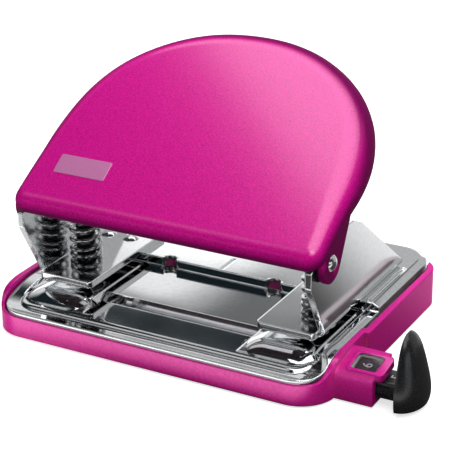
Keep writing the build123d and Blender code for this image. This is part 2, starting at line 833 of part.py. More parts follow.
with BuildPart() as chip_tray:
    add(tray_shell())
    # the cavity that catches the chips
    with BuildSketch(Plane.XY.offset(tray_inside_z)):
        add(
            plan_outline(
                tray_front_half - tray_wall,
                tray_front_y + tray_wall,
                tray_rear_y - tray_rear_wall,
                tray_front_cavity_corner,
                tray_rear_cavity_corner,
            )
        )
        add(
            plan_outline(
                tray_rear_half - tray_rear_wall,
                tray_step_y + tray_rear_wall,
                tray_rear_y - tray_rear_wall,
                1.0,
                tray_rear_cavity_corner,
            )
        )
    extrude(amount=tray_side_z, mode=Mode.SUBTRACT)
    # guide housing on the right-hand side
    with BuildSketch(Plane.YZ.offset(tray_front_half - tray_wall)):
        with BuildLine():
            Polyline(
                (housing_front_y, tray_bottom_z),
                (housing_front_y, housing_front_z),
                housing_slope_front,
                housing_slope_rear,
                (housing_rear_y, housing_slope_rear[1]),
                (housing_rear_y, tray_bottom_z),
                close=True,
            )
        make_face()
    extrude(amount=housing_end_x - tray_front_half + tray_wall)
    # raised frame of the window, standing proud of the sloping top
    with BuildSketch(window_plane.offset(window_rise)):
        with Locations((0, window_middle)):
            RectangleRounded(window_width, window_depth, window_corner)
    extrude(amount=-window_rise - lens_thickness - 0.5)
    with BuildSketch(window_plane.offset(window_rise)):
        with Locations(sight_middle):
            RectangleRounded(
                sight_width + 2 * lens_seat, sight_depth + 2 * lens_seat, lens_corner
            )
    extrude(amount=-lens_thickness - lens_set, mode=Mode.SUBTRACT)
    with BuildSketch(window_plane.offset(window_rise)):
        with Locations(sight_middle):
            Rectangle(sight_width, sight_depth)
    extrude(amount=-window_rise - 4, mode=Mode.SUBTRACT)
    # the guide bar's channel, through the side wall and the housing
    with BuildSketch(Plane.YZ.offset(tray_front_half - tray_wall - 3)):
        with BuildLine():
            Polyline(
                (guide_front_y - guide_gap, tray_inside_z),
                (guide_rear_y + guide_gap, tray_inside_z),
                (guide_rear_y + guide_gap, guide_top_z + guide_gap),
                (guide_front_y - guide_gap, guide_top_z + guide_gap),
                close=True,
            )
        make_face()
    extrude(amount=window_width + 10, mode=Mode.SUBTRACT)
    # two ribs on the floor keep the bar straight
    with BuildSketch(Plane.XY.offset(tray_inside_z)):
        rib_x = (tray_front_half - tray_wall - rib_end) / 2
        for y in (guide_front_y - guide_gap - rib / 2, guide_rear_y + guide_gap + rib / 2):
            with Locations((rib_x, y)):
                Rectangle(tray_front_half - tray_wall + rib_end, rib)
    extrude(amount=rib_height)
    # recess for the mat
    with BuildSketch(Plane.XY.offset(tray_bottom_z)):
        with Locations((0, tray_middle_y)):
            RectangleRounded(mat_length, mat_depth, mat_corner)
    extrude(amount=mat_recess, mode=Mode.SUBTRACT)
    # openings for the pressing's hinge lugs, then the knuckles beside them
    with BuildSketch(Plane.XY.offset(hinge_z - hinge_knuckle_radius - 2 * hinge_gap)):
        for _, side in sides:
            with Locations((side * hinge_x, tray_rear_y)):
                Rectangle(hinge_lug_width + 2 * hinge_gap, 4 * tray_rear_wall)
    extrude(amount=tray_side_z, mode=Mode.SUBTRACT)
    with BuildSketch(Plane.YZ) as knuckle:
        with Locations((hinge_y, hinge_z)):
            Circle(hinge_knuckle_radius)
    for x, _, _ in knuckle_spots(knuckle_offset):
        extrude(
            to_extrude=knuckle.sketch.moved(Location((x, 0, 0))),
            amount=hinge_knuckle_width / 2,
            both=True,
        )
    for x, _, _ in knuckle_spots(knuckle_offset):
        with Locations(Location((x, hinge_y, hinge_z), (0, 90, 0))):
            Hole(hinge_pin_radius + run_fit, depth=hinge_knuckle_width)
finish(chip_tray, "chip_tray")

for name, side in sides:
    with BuildPart() as hinge_pin:
        with BuildSketch(Plane.YZ.offset(side * hinge_x)):
            with Locations((hinge_y, hinge_z)):
                Circle(hinge_pin_radius)
        extrude(amount=knuckle_offset + hinge_knuckle_width / 2 + 0.4, both=True)
    finish(hinge_pin, f"{name}_hinge_pin")

with BuildPart() as rubber_mat:
    with BuildSketch(Plane.XY):
        with Locations((0, tray_middle_y)):
            RectangleRounded(
                mat_length - 2 * mat_gap, mat_depth - 2 * mat_gap, mat_corner - mat_gap
            )
    extrude(amount=mat_thickness)
finish(rubber_mat, "rubber_mat")

# ---- paper guide ---------------------------------------------------------------
with BuildPart() as guide_window:
    with BuildSketch(window_plane.offset(window_rise - lens_set)):
        with Locations(sight_middle):
            RectangleRounded(
                sight_width + 2 * lens_seat - 2 * seat_fit,
                sight_depth + 2 * lens_seat - 2 * seat_fit,
                lens_corner - seat_fit,
            )
    extrude(amount=-lens_thickness)
finish(guide_window, "guide_window")

guide_middle_y = (guide_front_y + guide_rear_y) / 2
guide_middle_z = (guide_bottom_z + guide_top_z) / 2
guide_width = guide_rear_y - guide_front_y
guide_height = guide_top_z - guide_bottom_z
with BuildPart() as guide_bar:
    with BuildSketch(Plane.YZ.offset(guide_face_x)):
        with Locations((guide_middle_y, guide_middle_z)):
            RectangleRounded(guide_width, guide_height, 0.8)
    extrude(amount=-guide_length)
    # two long grooves along the front face
    with BuildSketch(Plane.YZ.offset(guide_face_x - 3)):
        for z in (guide_middle_z - 1.3, guide_middle_z + 1.3):
            with Locations((guide_front_y, z)):
                Rectangle(0.8, 0.7)
    extrude(amount=-guide_length + 6, mode=Mode.SUBTRACT)
    # spigot that enters the stop
    with BuildSketch(Plane.YZ.offset(guide_face_x)):
        with Locations((guide_middle_y, guide_middle_z)):
            Rectangle(guide_width - 2 * spigot_margin, guide_height - 2 * spigot_margin)
    extrude(amount=spigot_length)
finish(guide_bar, "guide_bar")

with BuildPart() as guide_stop:
    for z, half_width, depth in stop_sections:
        with BuildSketch(Plane.XY.offset(z)):
            with Locations((guide_face_x, stop_y)):
                Ellipse(depth, half_width)
            with Locations((guide_face_x - depth, stop_y)):
                Rectangle(2 * depth, 3 * half_width, mode=Mode.SUBTRACT)
    loft()
    with BuildSketch(Plane.YZ.offset(guide_face_x)):
        with Locations((guide_middle_y, guide_middle_z)):
            Rectangle(
                guide_width - 2 * spigot_margin + 2 * seat_fit,
                guide_height - 2 * spigot_margin + 2 * seat_fit,
            )
    extrude(amount=spigot_length + seat_fit, mode=Mode.SUBTRACT)
finish(guide_stop, "guide_stop")
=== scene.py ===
# %% [markdown]
# # A desk hole punch, dressed in Blender
#
# The punch's construction comes from CAD and is loaded as a fixed frame: every rigid
# piece already has its real shape, size and place, in metres, with +X to the user's
# right, +Y away from the user and +Z up.  This script gives those pieces their
# finishes and adds what is easier to shape here: the cover's soft rim, domed die
# pads, springs with closed end coils, a bare badge plate, printed figures and a
# ribbed rubber mat.  Floor, light and camera make the studio round them.  Each step
# says first what the thing is and why it is made this way.

# %% Load the frame
import bpy
import bmesh
from math import atan2, cos, degrees, pi, radians, sin
from mathutils import Matrix, Vector


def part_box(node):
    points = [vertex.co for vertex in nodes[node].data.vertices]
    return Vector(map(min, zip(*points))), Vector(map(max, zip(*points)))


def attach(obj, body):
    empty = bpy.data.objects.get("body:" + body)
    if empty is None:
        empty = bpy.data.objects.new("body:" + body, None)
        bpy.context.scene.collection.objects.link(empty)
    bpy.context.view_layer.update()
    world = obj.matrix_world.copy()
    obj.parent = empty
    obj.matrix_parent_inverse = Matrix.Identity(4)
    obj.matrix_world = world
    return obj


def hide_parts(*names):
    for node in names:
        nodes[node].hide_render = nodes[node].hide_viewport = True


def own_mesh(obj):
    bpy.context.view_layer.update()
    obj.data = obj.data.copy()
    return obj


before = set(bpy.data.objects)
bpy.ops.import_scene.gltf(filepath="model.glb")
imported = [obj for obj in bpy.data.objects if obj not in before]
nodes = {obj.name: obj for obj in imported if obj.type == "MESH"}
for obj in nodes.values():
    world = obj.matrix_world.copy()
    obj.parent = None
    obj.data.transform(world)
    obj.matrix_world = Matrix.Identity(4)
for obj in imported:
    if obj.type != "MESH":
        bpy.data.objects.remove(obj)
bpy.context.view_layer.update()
MM = 0.001

# %% [markdown]
# ## Camera
#
# Product pictures are taken with a long lens from a little above and to one side, so
# the sides stay nearly parallel.  The camera is placed by its distance and its
# angles, which is easier to reason about than raw rotation numbers, and its rotation
# is built from the three axes of the view.

# %% Camera
CAMERA_AZIMUTH = radians(28.866)
CAMERA_ELEVATION = radians(22.899)
CAMERA_ROLL = radians(-0.555)
CAMERA_PLACE = Vector((0.2192, -0.3801, 0.2187))
CAMERA_LENS = 127.9
CAMERA_SENSOR = 36


def camera_axes():
    """Right, up and back vectors of the view, for the camera's rotation."""
    forward = Vector(
        (
            -sin(CAMERA_AZIMUTH) * cos(CAMERA_ELEVATION),
            cos(CAMERA_AZIMUTH) * cos(CAMERA_ELEVATION),
            -sin(CAMERA_ELEVATION),
        )
    )
    right = Vector((cos(CAMERA_AZIMUTH), sin(CAMERA_AZIMUTH), 0))
    up = right.cross(forward)
    rolled_right = cos(CAMERA_ROLL) * right + sin(CAMERA_ROLL) * up
    rolled_up = cos(CAMERA_ROLL) * up - sin(CAMERA_ROLL) * right
    return rolled_right, rolled_up, -forward


def link_object(name, data):
    """New object for a mesh, lamp or camera, linked to the scene at the origin."""
    item = bpy.data.objects.new(name, data)
    bpy.context.scene.collection.objects.link(item)
    return item


camera_data = bpy.data.cameras.new("camera")
camera_data.lens = CAMERA_LENS
camera_data.sensor_width = CAMERA_SENSOR
camera = link_object("camera", camera_data)
turn = Matrix(camera_axes()).transposed().to_4x4()
camera.matrix_world = Matrix.Translation(CAMERA_PLACE) @ turn
bpy.context.scene.camera = camera
bpy.context.scene.view_settings.view_transform = "Standard"
print("camera lens:", camera_data.lens, "mm")

# %% [markdown]
# ## Floor
#
# The punch stands on a plain white table, and one large square sheet stands for it.
# Its finish comes last, next to the lamps, because floor and light are tuned
# together: the chrome mirrors both.

# %% Floor
FLOOR_HALF = 3.0
SQUARE = ((-1, -1), (1, -1), (1, 1), (-1, 1))


def mesh_object(name, vertices, faces, smooth=False):
    """New object from plain vertex and face lists."""
    mesh = bpy.data.meshes.new(name)
    mesh.from_pydata([tuple(v) for v in vertices], [], faces)
    mesh.update()
    for face in mesh.polygons:
        face.use_smooth = smooth
    return link_object(name, mesh)


floor = mesh_object("floor", [(x * FLOOR_HALF, y * FLOOR_HALF, 0) for x, y in SQUARE], [(0, 1, 2, 3)])
print("floor:", 2 * FLOOR_HALF, "m wide")

# %% [markdown]
# ## Tools for node trees
#
# Every finish is a node tree.  A few helpers keep the trees short to read: one adds
# a node, one joins two sockets, and one feeds several inputs of a node at once, each
# with a value or with a socket.  Three more do the arithmetic: any math operation, a
# product, and a soft step between two limits.

# %% Helpers for node trees
def add_node(tree, kind, settings=None, inputs=None):
    """Add a node, set its properties, then the values of its inputs."""
    node = tree.nodes.new(kind)
    for key, value in (settings or {}).items():
        setattr(node, key, value)
    for key, value in (inputs or {}).items():
        node.inputs[key].default_value = value
    return node


def join(tree, source, target):
    """Link an output socket to an input socket."""
    tree.links.new(source, target)


def feed(tree, node, **inputs):
    """Give inputs of a node a value or a socket; an underscore stands for a space."""
    for label, value in inputs.items():
        target = node.inputs[label.replace("_", " ")]
        if isinstance(value, (int, float, tuple)):
            target.default_value = value
        else:
            join(tree, value, target)


def calc(tree, operation, *values):
    """Math node; each value is a number or a socket."""
    node = add_node(tree, "ShaderNodeMath", {"operation": operation})
    for target, value in zip(node.inputs, values):
        if isinstance(value, (int, float)):
            target.default_value = value
        else:
            join(tree, value, target)
    return node.outputs[0]


def times(tree, product, *factors):
    """Product of sockets and numbers."""
    for factor in factors:
        product = calc(tree, "MULTIPLY", product, factor)
    return product


def fade(tree, value, start, end):
    """Smooth 0 to 1 as value goes from start to end; start may be the larger one."""
    node = add_node(tree, "ShaderNodeMapRange", {"interpolation_type": "SMOOTHSTEP", "clamp": True})
    feed(tree, node, Value=value, From_Min=start, From_Max=end)
    return node.outputs[0]


print("tree helpers ready")

# %% [markdown]
# ## Tools for finishes
#
# A finish starts as a Principled BSDF with the object coordinates that all patterns
# here use.  They are in metres, so a pattern's scale is one over its size.  Colours
# come from a ramp between two tones or from a mix.  Real sheet has no knife edges,
# so a Bevel node can soften the normal near an edge, and the same softened normal
# tells how far the surface turns away from the viewer.  Chrome nearby would double
# every strong colour, so a coloured finish can turn neutral where it is mirrored.

# %% Helpers for finishes
BEVEL_SAMPLES = 12
MIRRORED_SHARE = 0.88


def start_material(name, color, metallic=0.0):
    """Material with a Principled BSDF, its tree and the object coordinates."""
    material = bpy.data.materials.new(name)
    material.use_nodes = True
    material.diffuse_color = (*color, 1)
    tree = material.node_tree
    shader = tree.nodes["Principled BSDF"]
    feed(tree, shader, Base_Color=(*color, 1), Metallic=metallic)
    place = add_node(tree, "ShaderNodeTexCoord").outputs["Object"]
    return material, tree, shader, place


def tint(tree, value, dark, light, low=0.35, high=0.65):
    """Colour between two tones, steered by a value that counts from low to high."""
    ramp = add_node(tree, "ShaderNodeValToRGB")
    for element, position, color in zip(ramp.color_ramp.elements, (low, high), (dark, light)):
        element.position = position
        element.color = (*color, 1)
    join(tree, value, ramp.inputs["Fac"])
    return ramp.outputs["Color"]


def blend(tree, share, first, second):
    """Mix of two colours by a share from 0 to 1; each colour is a tuple or a socket."""
    mix = add_node(tree, "ShaderNodeMix", {"data_type": "RGBA"})
    for label, value in (("Factor", share), ("A", first), ("B", second)):
        if isinstance(value, tuple):
            mix.inputs[label].default_value = (*value, 1)
        else:
            join(tree, value, mix.inputs[label])
    return mix.outputs["Result"]


def soft_edges(tree, radius):
    """Normal that runs smoothly over edges within a radius."""
    return add_node(tree, "ShaderNodeBevel", {"samples": BEVEL_SAMPLES}, {"Radius": radius}).outputs["Normal"]


def painted(tree, name):
    """Value that the mesh itself carries under a name."""
    return add_node(tree, "ShaderNodeAttribute", {"attribute_name": name}).outputs["Fac"]


def turned_away(tree, rounding):
    """0 where the surface faces the viewer, 1 at its outline, smooth over edges."""
    layer = add_node(tree, "ShaderNodeLayerWeight", inputs={"Blend": 0.5})
    join(tree, soft_edges(tree, rounding), layer.inputs["Normal"])
    return layer.outputs["Facing"]


def neutral_in_mirrors(tree, color, tone):
    """Colour as given, but mostly a neutral tone where another piece mirrors it."""
    mirrored = add_node(tree, "ShaderNodeLightPath").outputs["Is Glossy Ray"]
    return blend(tree, times(tree, mirrored, MIRRORED_SHARE), color, (tone, tone, tone))


def add_bump(tree, shader, height, strength, distance, edge=0.0):
    """Turn a height into the shader's normal; edge also softens sharp edges."""
    bump = add_node(tree, "ShaderNodeBump", inputs={"Strength": strength, "Distance": distance})
    join(tree, height, bump.inputs["Height"])
    join(tree, bump.outputs["Normal"], shader.inputs["Normal"])
    if edge:
        join(tree, soft_edges(tree, edge), bump.inputs["Normal"])


print("finish helpers ready")

# %% [markdown]
# ## Shared effect: fine grain
#
# Powder coat, moulded plastic and zinc plate all have a fine grain that breaks up
# both colour and shine.  One node group makes it from two noise patterns, a fine and
# a coarse one.  It puts out a value for the colour, one for the roughness and a
# height for the bump, and each finish uses it with its own sizes.

# %% Node group: fine grain
FLOAT = "NodeSocketFloat"
VECTOR = "NodeSocketVector"


def new_group(name, sockets_in, sockets_out):
    """Shader node group with named inputs (name, type, default) and float outputs."""
    group = bpy.data.node_groups.new(name, "ShaderNodeTree")
    for label, kind, value in sockets_in:
        socket = group.interface.new_socket(label, in_out="INPUT", socket_type=kind)
        if value is not None:
            socket.default_value = value
    for label in sockets_out:
        group.interface.new_socket(label, in_out="OUTPUT", socket_type=FLOAT)
    return group, add_node(group, "NodeGroupInput"), add_node(group, "NodeGroupOutput")


def swing_round(tree, pattern, swing, middle):
    """Value that swings round a middle as a pattern swings round one half."""
    centred = calc(tree, "SUBTRACT", pattern, 0.5)
    return calc(tree, "MULTIPLY_ADD", centred, swing, middle)


grain_group, grain_in, grain_out = new_group(
    "fine_grain",
    [
        ("Place", VECTOR, None),
        ("Fine Scale", FLOAT, 2600.0),
        ("Coarse Scale", FLOAT, 60.0),
        ("Contrast", FLOAT, 1.0),
        ("Roughness", FLOAT, 0.4),
        ("Roughness Swing", FLOAT, 0.08),
    ],
    ["Grain", "Roughness", "Height"],
)
given = grain_in.outputs
fine = add_node(grain_group, "ShaderNodeTexNoise", inputs={"Detail": 2.0, "Roughness": 0.55})
coarse = add_node(grain_group, "ShaderNodeTexNoise", inputs={"Detail": 3.0, "Roughness": 0.5})
feed(grain_group, fine, Vector=given["Place"], Scale=given["Fine Scale"])
feed(grain_group, coarse, Vector=given["Place"], Scale=given["Coarse Scale"])
feed(
    grain_group,
    grain_out,
    Grain=swing_round(grain_group, fine.outputs[0], given["Contrast"], 0.5),
    Roughness=swing_round(grain_group, coarse.outputs[0], given["Roughness Swing"], given["Roughness"]),
    Height=fine.outputs[0],
)
print("group:", grain_group.name)

# %% [markdown]
# ## Shared effect: turned and drawn lines
#
# Pins, rivets and wire keep fine parallel marks from turning, drawing or grinding.
# The group stretches a noise pattern along one direction by scaling the coordinates
# unevenly, and puts out a value for tint and bump and one for the roughness.

# %% Node group: drawn lines
lines_group, lines_in, lines_out = new_group(
    "drawn_lines",
    [
        ("Place", VECTOR, None),
        ("Stretch", VECTOR, (200.0, 200.0, 6000.0)),
        ("Roughness", FLOAT, 0.25),
        ("Roughness Swing", FLOAT, 0.2),
    ],
    ["Lines", "Roughness"],
)
given = lines_in.outputs
scaled = add_node(lines_group, "ShaderNodeVectorMath", {"operation": "MULTIPLY"})
join(lines_group, given["Place"], scaled.inputs[0])
join(lines_group, given["Stretch"], scaled.inputs[1])
marks = add_node(lines_group, "ShaderNodeTexNoise", inputs={"Scale": 1.0, "Detail": 3.0})
join(lines_group, scaled.outputs[0], marks.inputs["Vector"])
feed(
    lines_group,
    lines_out,
    Lines=marks.outputs[0],
    Roughness=swing_round(lines_group, marks.outputs[0], given["Roughness Swing"], given["Roughness"]),
)
print("group:", lines_group.name)

# %% [markdown]
# ## Putting the effects to use
#
# A material takes a shared group by placing it and feeding its inputs.  Most
# finishes here use the grain in the same way, for their colour and their roughness,
# so one helper does that.  The CAD pieces have material slots of their own, and
# dressing a piece means filling them.

# %% Helpers: place a group, grain a finish, dress a piece
def place_group(tree, group, place, **inputs):
    """Place a shared group in a material, with its values."""
    node = add_node(tree, "ShaderNodeGroup", {"node_tree": group})
    feed(tree, node, Place=place, **inputs)
    return node


def grain_colors(tree, shader, place, dark, light, spread=(0.35, 0.65), **inputs):
    """Let the fine grain steer colour and roughness; returns the group and the colour."""
    grain = place_group(tree, grain_group, place, **inputs)
    color = tint(tree, grain.outputs["Grain"], dark, light, *spread)
    feed(tree, shader, Base_Color=color, Roughness=grain.outputs["Roughness"])
    return grain, color


def both(*pieces):
    """Left and right names of paired pieces."""
    return [f"{side}_{piece}" for piece in pieces for side in ("left", "right")]


def dress(material, *names):
    """Give CAD nodes their finish by filling their material slots."""
    for name in names:
        piece = nodes[name]
        if not piece.material_slots:
            piece.data.materials.append(material)
        for slot in piece.material_slots:
            slot.material = material


WIDE_SPREAD = (0.2, 0.8)
print("finishes can start")

# %% [markdown]
# ## Cover: magenta powder coat
#
# The press handle is sheet steel with a metallic magenta powder coat.  Close up the
# coat is sandy: tiny flakes and pits break its colour into lighter and darker
# specks, so the grain drives the colour through a ramp and a very small bump.  The
# flakes lie flat, which makes the coat darker where it turns away from the viewer,
# and the colour turns almost black-red there by the view: partly that flop, partly
# painted shade for the dim rims.  A painted value named shade adds painted shade on
# the cover's rim, its rear faces and its underside, so that this painted shade
# stays on the rim when the handle moves.  A second value, gloss, keeps the clear
# coat's broad shine to the face.

# %% Finish: powder coat
COAT_DARK = (0.66, 0.0015, 0.235)
COAT_LIGHT = (1.0, 0.009, 0.45)
# Deep red-black for the painted shade on the rims, rear faces and underside.
COAT_RIM_SHADE = (0.05, 0.0005, 0.03)
COAT_ROUNDING = 1.0 * MM
COAT_METALLIC = 0.12
COAT_MIRRORED = 0.06
COAT_DARKENING = 0.86
VIEW_DARKENING = 0.8
VIEW_TURN = (0.35, 0.9)
CLEAR_COAT_END = (0.58, 0.3)
BARE_ROUGHNESS = 0.75
cover_paint, tree, shader, place = start_material("cover_paint", COAT_LIGHT)
grain, coat_color = grain_colors(
    tree,
    shader,
    place,
    COAT_DARK,
    COAT_LIGHT,
    WIDE_SPREAD,
    Fine_Scale=2300.0,
    Coarse_Scale=90.0,
    Contrast=1.5,
    Roughness=0.32,
    Roughness_Swing=0.06,
)
away = turned_away(tree, COAT_ROUNDING)
# Painted shade, partly metallic flop: the colour darkens where the surface turns from the view and where the
# mesh's shade value marks rim, rear face or underside.
view_shade = times(tree, fade(tree, away, *VIEW_TURN), VIEW_DARKENING)
darkening = times(tree, calc(tree, "MAXIMUM", painted(tree, "shade"), view_shade), COAT_DARKENING)
shaded_color = blend(tree, darkening, coat_color, COAT_RIM_SHADE)
clear_coat = times(tree, painted(tree, "gloss"), fade(tree, away, *CLEAR_COAT_END))
bare = calc(tree, "SUBTRACT", 1.0, clear_coat)
feed(
    tree,
    shader,
    Base_Color=neutral_in_mirrors(tree, shaded_color, COAT_MIRRORED),
    Roughness=calc(tree, "MAXIMUM", grain.outputs["Roughness"], times(tree, bare, BARE_ROUGHNESS)),
    Metallic=calc(tree, "MULTIPLY_ADD", bare, -COAT_METALLIC, COAT_METALLIC),
    IOR=1.2,
    Specular_IOR_Level=0.2,
    Coat_Weight=clear_coat,
    Coat_Roughness=0.2,
    Coat_IOR=1.8,
)
add_bump(tree, shader, grain.outputs["Height"], strength=0.12, distance=0.2 * MM, edge=COAT_ROUNDING)
dress(cover_paint, "handle_cover")
print("finish:", cover_paint.name)

# %% [markdown]
# ## Tray: gloss magenta plastic
#
# The chip tray is moulded in a plastic of the same colour with a gloss surface.
# Moulded plastic is never perfectly even, so the roughness drifts slowly over the
# surface and a faint bump stands for the flow of the moulding.  The gloss is a coat
# that fades where the surface turns away, which keeps the rounded rims coloured.

# %% Finish: gloss plastic
TRAY_DARK = (0.72, 0.005, 0.29)
TRAY_LIGHT = (0.90, 0.016, 0.40)
TRAY_ROUNDING = 0.7 * MM
TRAY_MIRRORED = 0.7
TRAY_GLOSS = 0.8
GLOSS_END = (0.5, 0.3)
tray_plastic, tree, shader, place = start_material("tray_plastic", TRAY_LIGHT, metallic=0.3)
grain, plastic_color = grain_colors(
    tree,
    shader,
    place,
    TRAY_DARK,
    TRAY_LIGHT,
    Fine_Scale=1400.0,
    Coarse_Scale=35.0,
    Contrast=0.6,
    Roughness=0.3,
    Roughness_Swing=0.12,
)
sheen = fade(tree, turned_away(tree, TRAY_ROUNDING), *GLOSS_END)
feed(
    tree,
    shader,
    Base_Color=neutral_in_mirrors(tree, plastic_color, TRAY_MIRRORED),
    IOR=1.15,
    Coat_Weight=times(tree, sheen, TRAY_GLOSS),
    Coat_Roughness=0.12,
    Coat_IOR=1.7,
)
add_bump(tree, shader, grain.outputs["Height"], strength=0.04, distance=0.2 * MM, edge=TRAY_ROUNDING)
dress(tray_plastic, "chip_tray")
print("finish:", tray_plastic.name)

# %% [markdown]
# ## Chrome plate
#
# The pressing and the two brackets are bright chrome.  Chrome has almost no colour
# of its own: what matters is a low roughness and something to mirror.  Rolled sheet
# is not perfectly flat, so a long, weak bump lets the reflections waver a little,
# and a fine grain spreads them slightly, as plating on pressed steel does.

# %% Finish: chrome
CHROME_LIGHT = (0.80, 0.81, 0.82)
CHROME_DARK = (0.70, 0.715, 0.73)
CHROME_SPREAD = (0.1, 0.6)
WAVES_PER_METRE = 38.0


def chrome(name, roughness, waviness, edge):
    """Bright plate on steel sheet; waviness is the strength of the long bump."""
    material, tree, shader, place = start_material(name, CHROME_LIGHT, metallic=1.0)
    grain_colors(
        tree,
        shader,
        place,
        CHROME_DARK,
        CHROME_LIGHT,
        CHROME_SPREAD,
        Fine_Scale=900.0,
        Coarse_Scale=70.0,
        Roughness=roughness,
        Roughness_Swing=0.03,
    )
    wave = add_node(tree, "ShaderNodeTexNoise", inputs={"Scale": WAVES_PER_METRE, "Detail": 1.0})
    join(tree, place, wave.inputs["Vector"])
    add_bump(tree, shader, wave.outputs[0], strength=waviness, distance=1.0 * MM, edge=edge)
    return material


base_chrome = chrome("base_chrome", roughness=0.04, waviness=0.03, edge=0.8 * MM)
bracket_chrome = chrome("bracket_chrome", roughness=0.1, waviness=0.10, edge=0.6 * MM)
dress(base_chrome, "base_plate")
dress(bracket_chrome, *both("bracket"))
print("finish:", base_chrome.name, bracket_chrome.name)

# %% [markdown]
# ## Turned, ground and plated steel
#
# Dies, pins, rivets, washers, clips, the yoke and its bar are bare or thinly plated
# steel.  They differ in tone and in the direction of their marks: rings round a
# turned pin, a broad grain on zinc plate.  One recipe takes those as values.

# %% Finish: steels
def steel(name, dark, light, roughness, stretch, swing=0.2):
    """Worked steel with marks along the direction that stretch leaves coarse."""
    material, tree, shader, place = start_material(name, light, metallic=1.0)
    lines = place_group(tree, lines_group, place, Stretch=stretch, Roughness=roughness, Roughness_Swing=swing)
    tone = tint(tree, lines.outputs["Lines"], dark, light)
    feed(tree, shader, Base_Color=tone, Roughness=lines.outputs["Roughness"])
    add_bump(tree, shader, lines.outputs["Lines"], strength=0.06, distance=0.1 * MM)
    return material


die_steel = steel(
    "die_steel", (0.40, 0.41, 0.43), (0.62, 0.63, 0.65), roughness=0.3, stretch=(300, 300, 5000)
)
# Very dark steel for the pins: partly painted shade for the dark inside of the springs round them.
pin_steel = steel(
    "pin_steel", (0.06, 0.06, 0.07), (0.16, 0.16, 0.17), roughness=0.25, stretch=(250, 250, 6000)
)
yoke_steel = steel(
    "yoke_steel", (0.50, 0.50, 0.52), (0.70, 0.70, 0.72), roughness=0.3, stretch=(60, 1200, 1200)
)
rivet_steel = steel(
    "rivet_steel",
    (0.58, 0.58, 0.60),
    (0.82, 0.82, 0.84),
    roughness=0.2,
    stretch=(1500, 1500, 1500),
    swing=0.12,
)
spring_steel = steel(
    "spring_steel",
    (0.34, 0.34, 0.35),
    (0.62, 0.62, 0.64),
    roughness=0.16,
    stretch=(900, 900, 900),
    swing=0.1,
)
dress(die_steel, *both("die"))
dress(pin_steel, *both("punch_pin"))
dress(rivet_steel, "bracket_rivets", *both("pivot_rivet", "pivot_washer", "hinge_pin", "spring_washer"))
dress(yoke_steel, "press_yoke", "press_bar")
dress(spring_steel, *both("retaining_clip"))
print("finish:", die_steel.name, pin_steel.name, rivet_steel.name, yoke_steel.name, spring_steel.name)

# %% [markdown]
# ## Guide: satin black plastic
#
# The paper guide is black plastic with a satin, lightly eroded surface.  It is not
# pure black: a little light grey in the ramp and a fine bump give the soft sheen
# that shows the shape of the stop.

# %% Finish: satin black
BLACK_DARK = (0.008, 0.008, 0.009)
BLACK_LIGHT = (0.024, 0.024, 0.026)
guide_black, tree, shader, place = start_material("guide_black", BLACK_LIGHT)
grain, _ = grain_colors(
    tree,
    shader,
    place,
    BLACK_DARK,
    BLACK_LIGHT,
    Fine_Scale=3200.0,
    Coarse_Scale=80.0,
    Roughness=0.25,
    Roughness_Swing=0.03,
)
add_bump(tree, shader, grain.outputs["Height"], strength=0.03, distance=0.1 * MM)
dress(guide_black, "guide_bar", "guide_stop")
print("finish:", guide_black.name)

# %% [markdown]
# ## Window lens
#
# The window is a small clear lens over the scale.  It is glass to the shader: full
# transmission, a low roughness and a low refractive index, as for a thin sheet of
# acrylic, with a faint smear in the roughness so it isn't perfectly clean.

# %% Finish: clear lens
window_clear, tree, shader, place = start_material("window_clear", (0.92, 0.92, 0.94))
smear = place_group(
    tree,
    grain_group,
    place,
    Fine_Scale=700.0,
    Coarse_Scale=160.0,
    Contrast=0.4,
    Roughness=0.04,
    Roughness_Swing=0.05,
)
feed(tree, shader, Roughness=smear.outputs["Roughness"], Transmission_Weight=1.0, IOR=1.3)
dress(window_clear, "guide_window")
print("finish:", window_clear.name)

# %% [markdown]
# ## Springs
#
# A coil spring round each pin lifts it again.  Its wire is closed at both ends, so
# the last turns lie against each other, and only the turns between are open.  A
# spring follows a rule, so Geometry Nodes make it: points along a line are moved
# onto a helix whose climb is slow in the end turns and quick in the middle, and a
# round wire is swept along it.  The sizes are inputs, so one tree makes any spring.

# %% Helpers: begin and end a geometry tree
MATERIAL = "NodeSocketMaterial"


def new_geometry_tree(name, sockets):
    """Geometry node tree with named inputs and one mesh output; returns input ids too."""
    tree = bpy.data.node_groups.new(name, "GeometryNodeTree")
    ids = {}
    for label, kind, value in sockets:
        socket = tree.interface.new_socket(label, in_out="INPUT", socket_type=kind)
        if value is not None:
            socket.default_value = value
        ids[label] = socket.identifier
    tree.interface.new_socket("Geometry", in_out="OUTPUT", socket_type="NodeSocketGeometry")
    return tree, add_node(tree, "NodeGroupInput").outputs, add_node(tree, "NodeGroupOutput"), ids


def end_tree(tree, geometry, finish, tree_out):
    """Make instances real, give them their finish and put them out."""
    real = add_node(tree, "GeometryNodeRealizeInstances")
    join(tree, geometry, real.inputs[0])
    finished = add_node(tree, "GeometryNodeSetMaterial")
    feed(tree, finished, Geometry=real.outputs[0], Material=finish)
    join(tree, finished.outputs[0], tree_out.inputs[0])


print("geometry helpers ready")

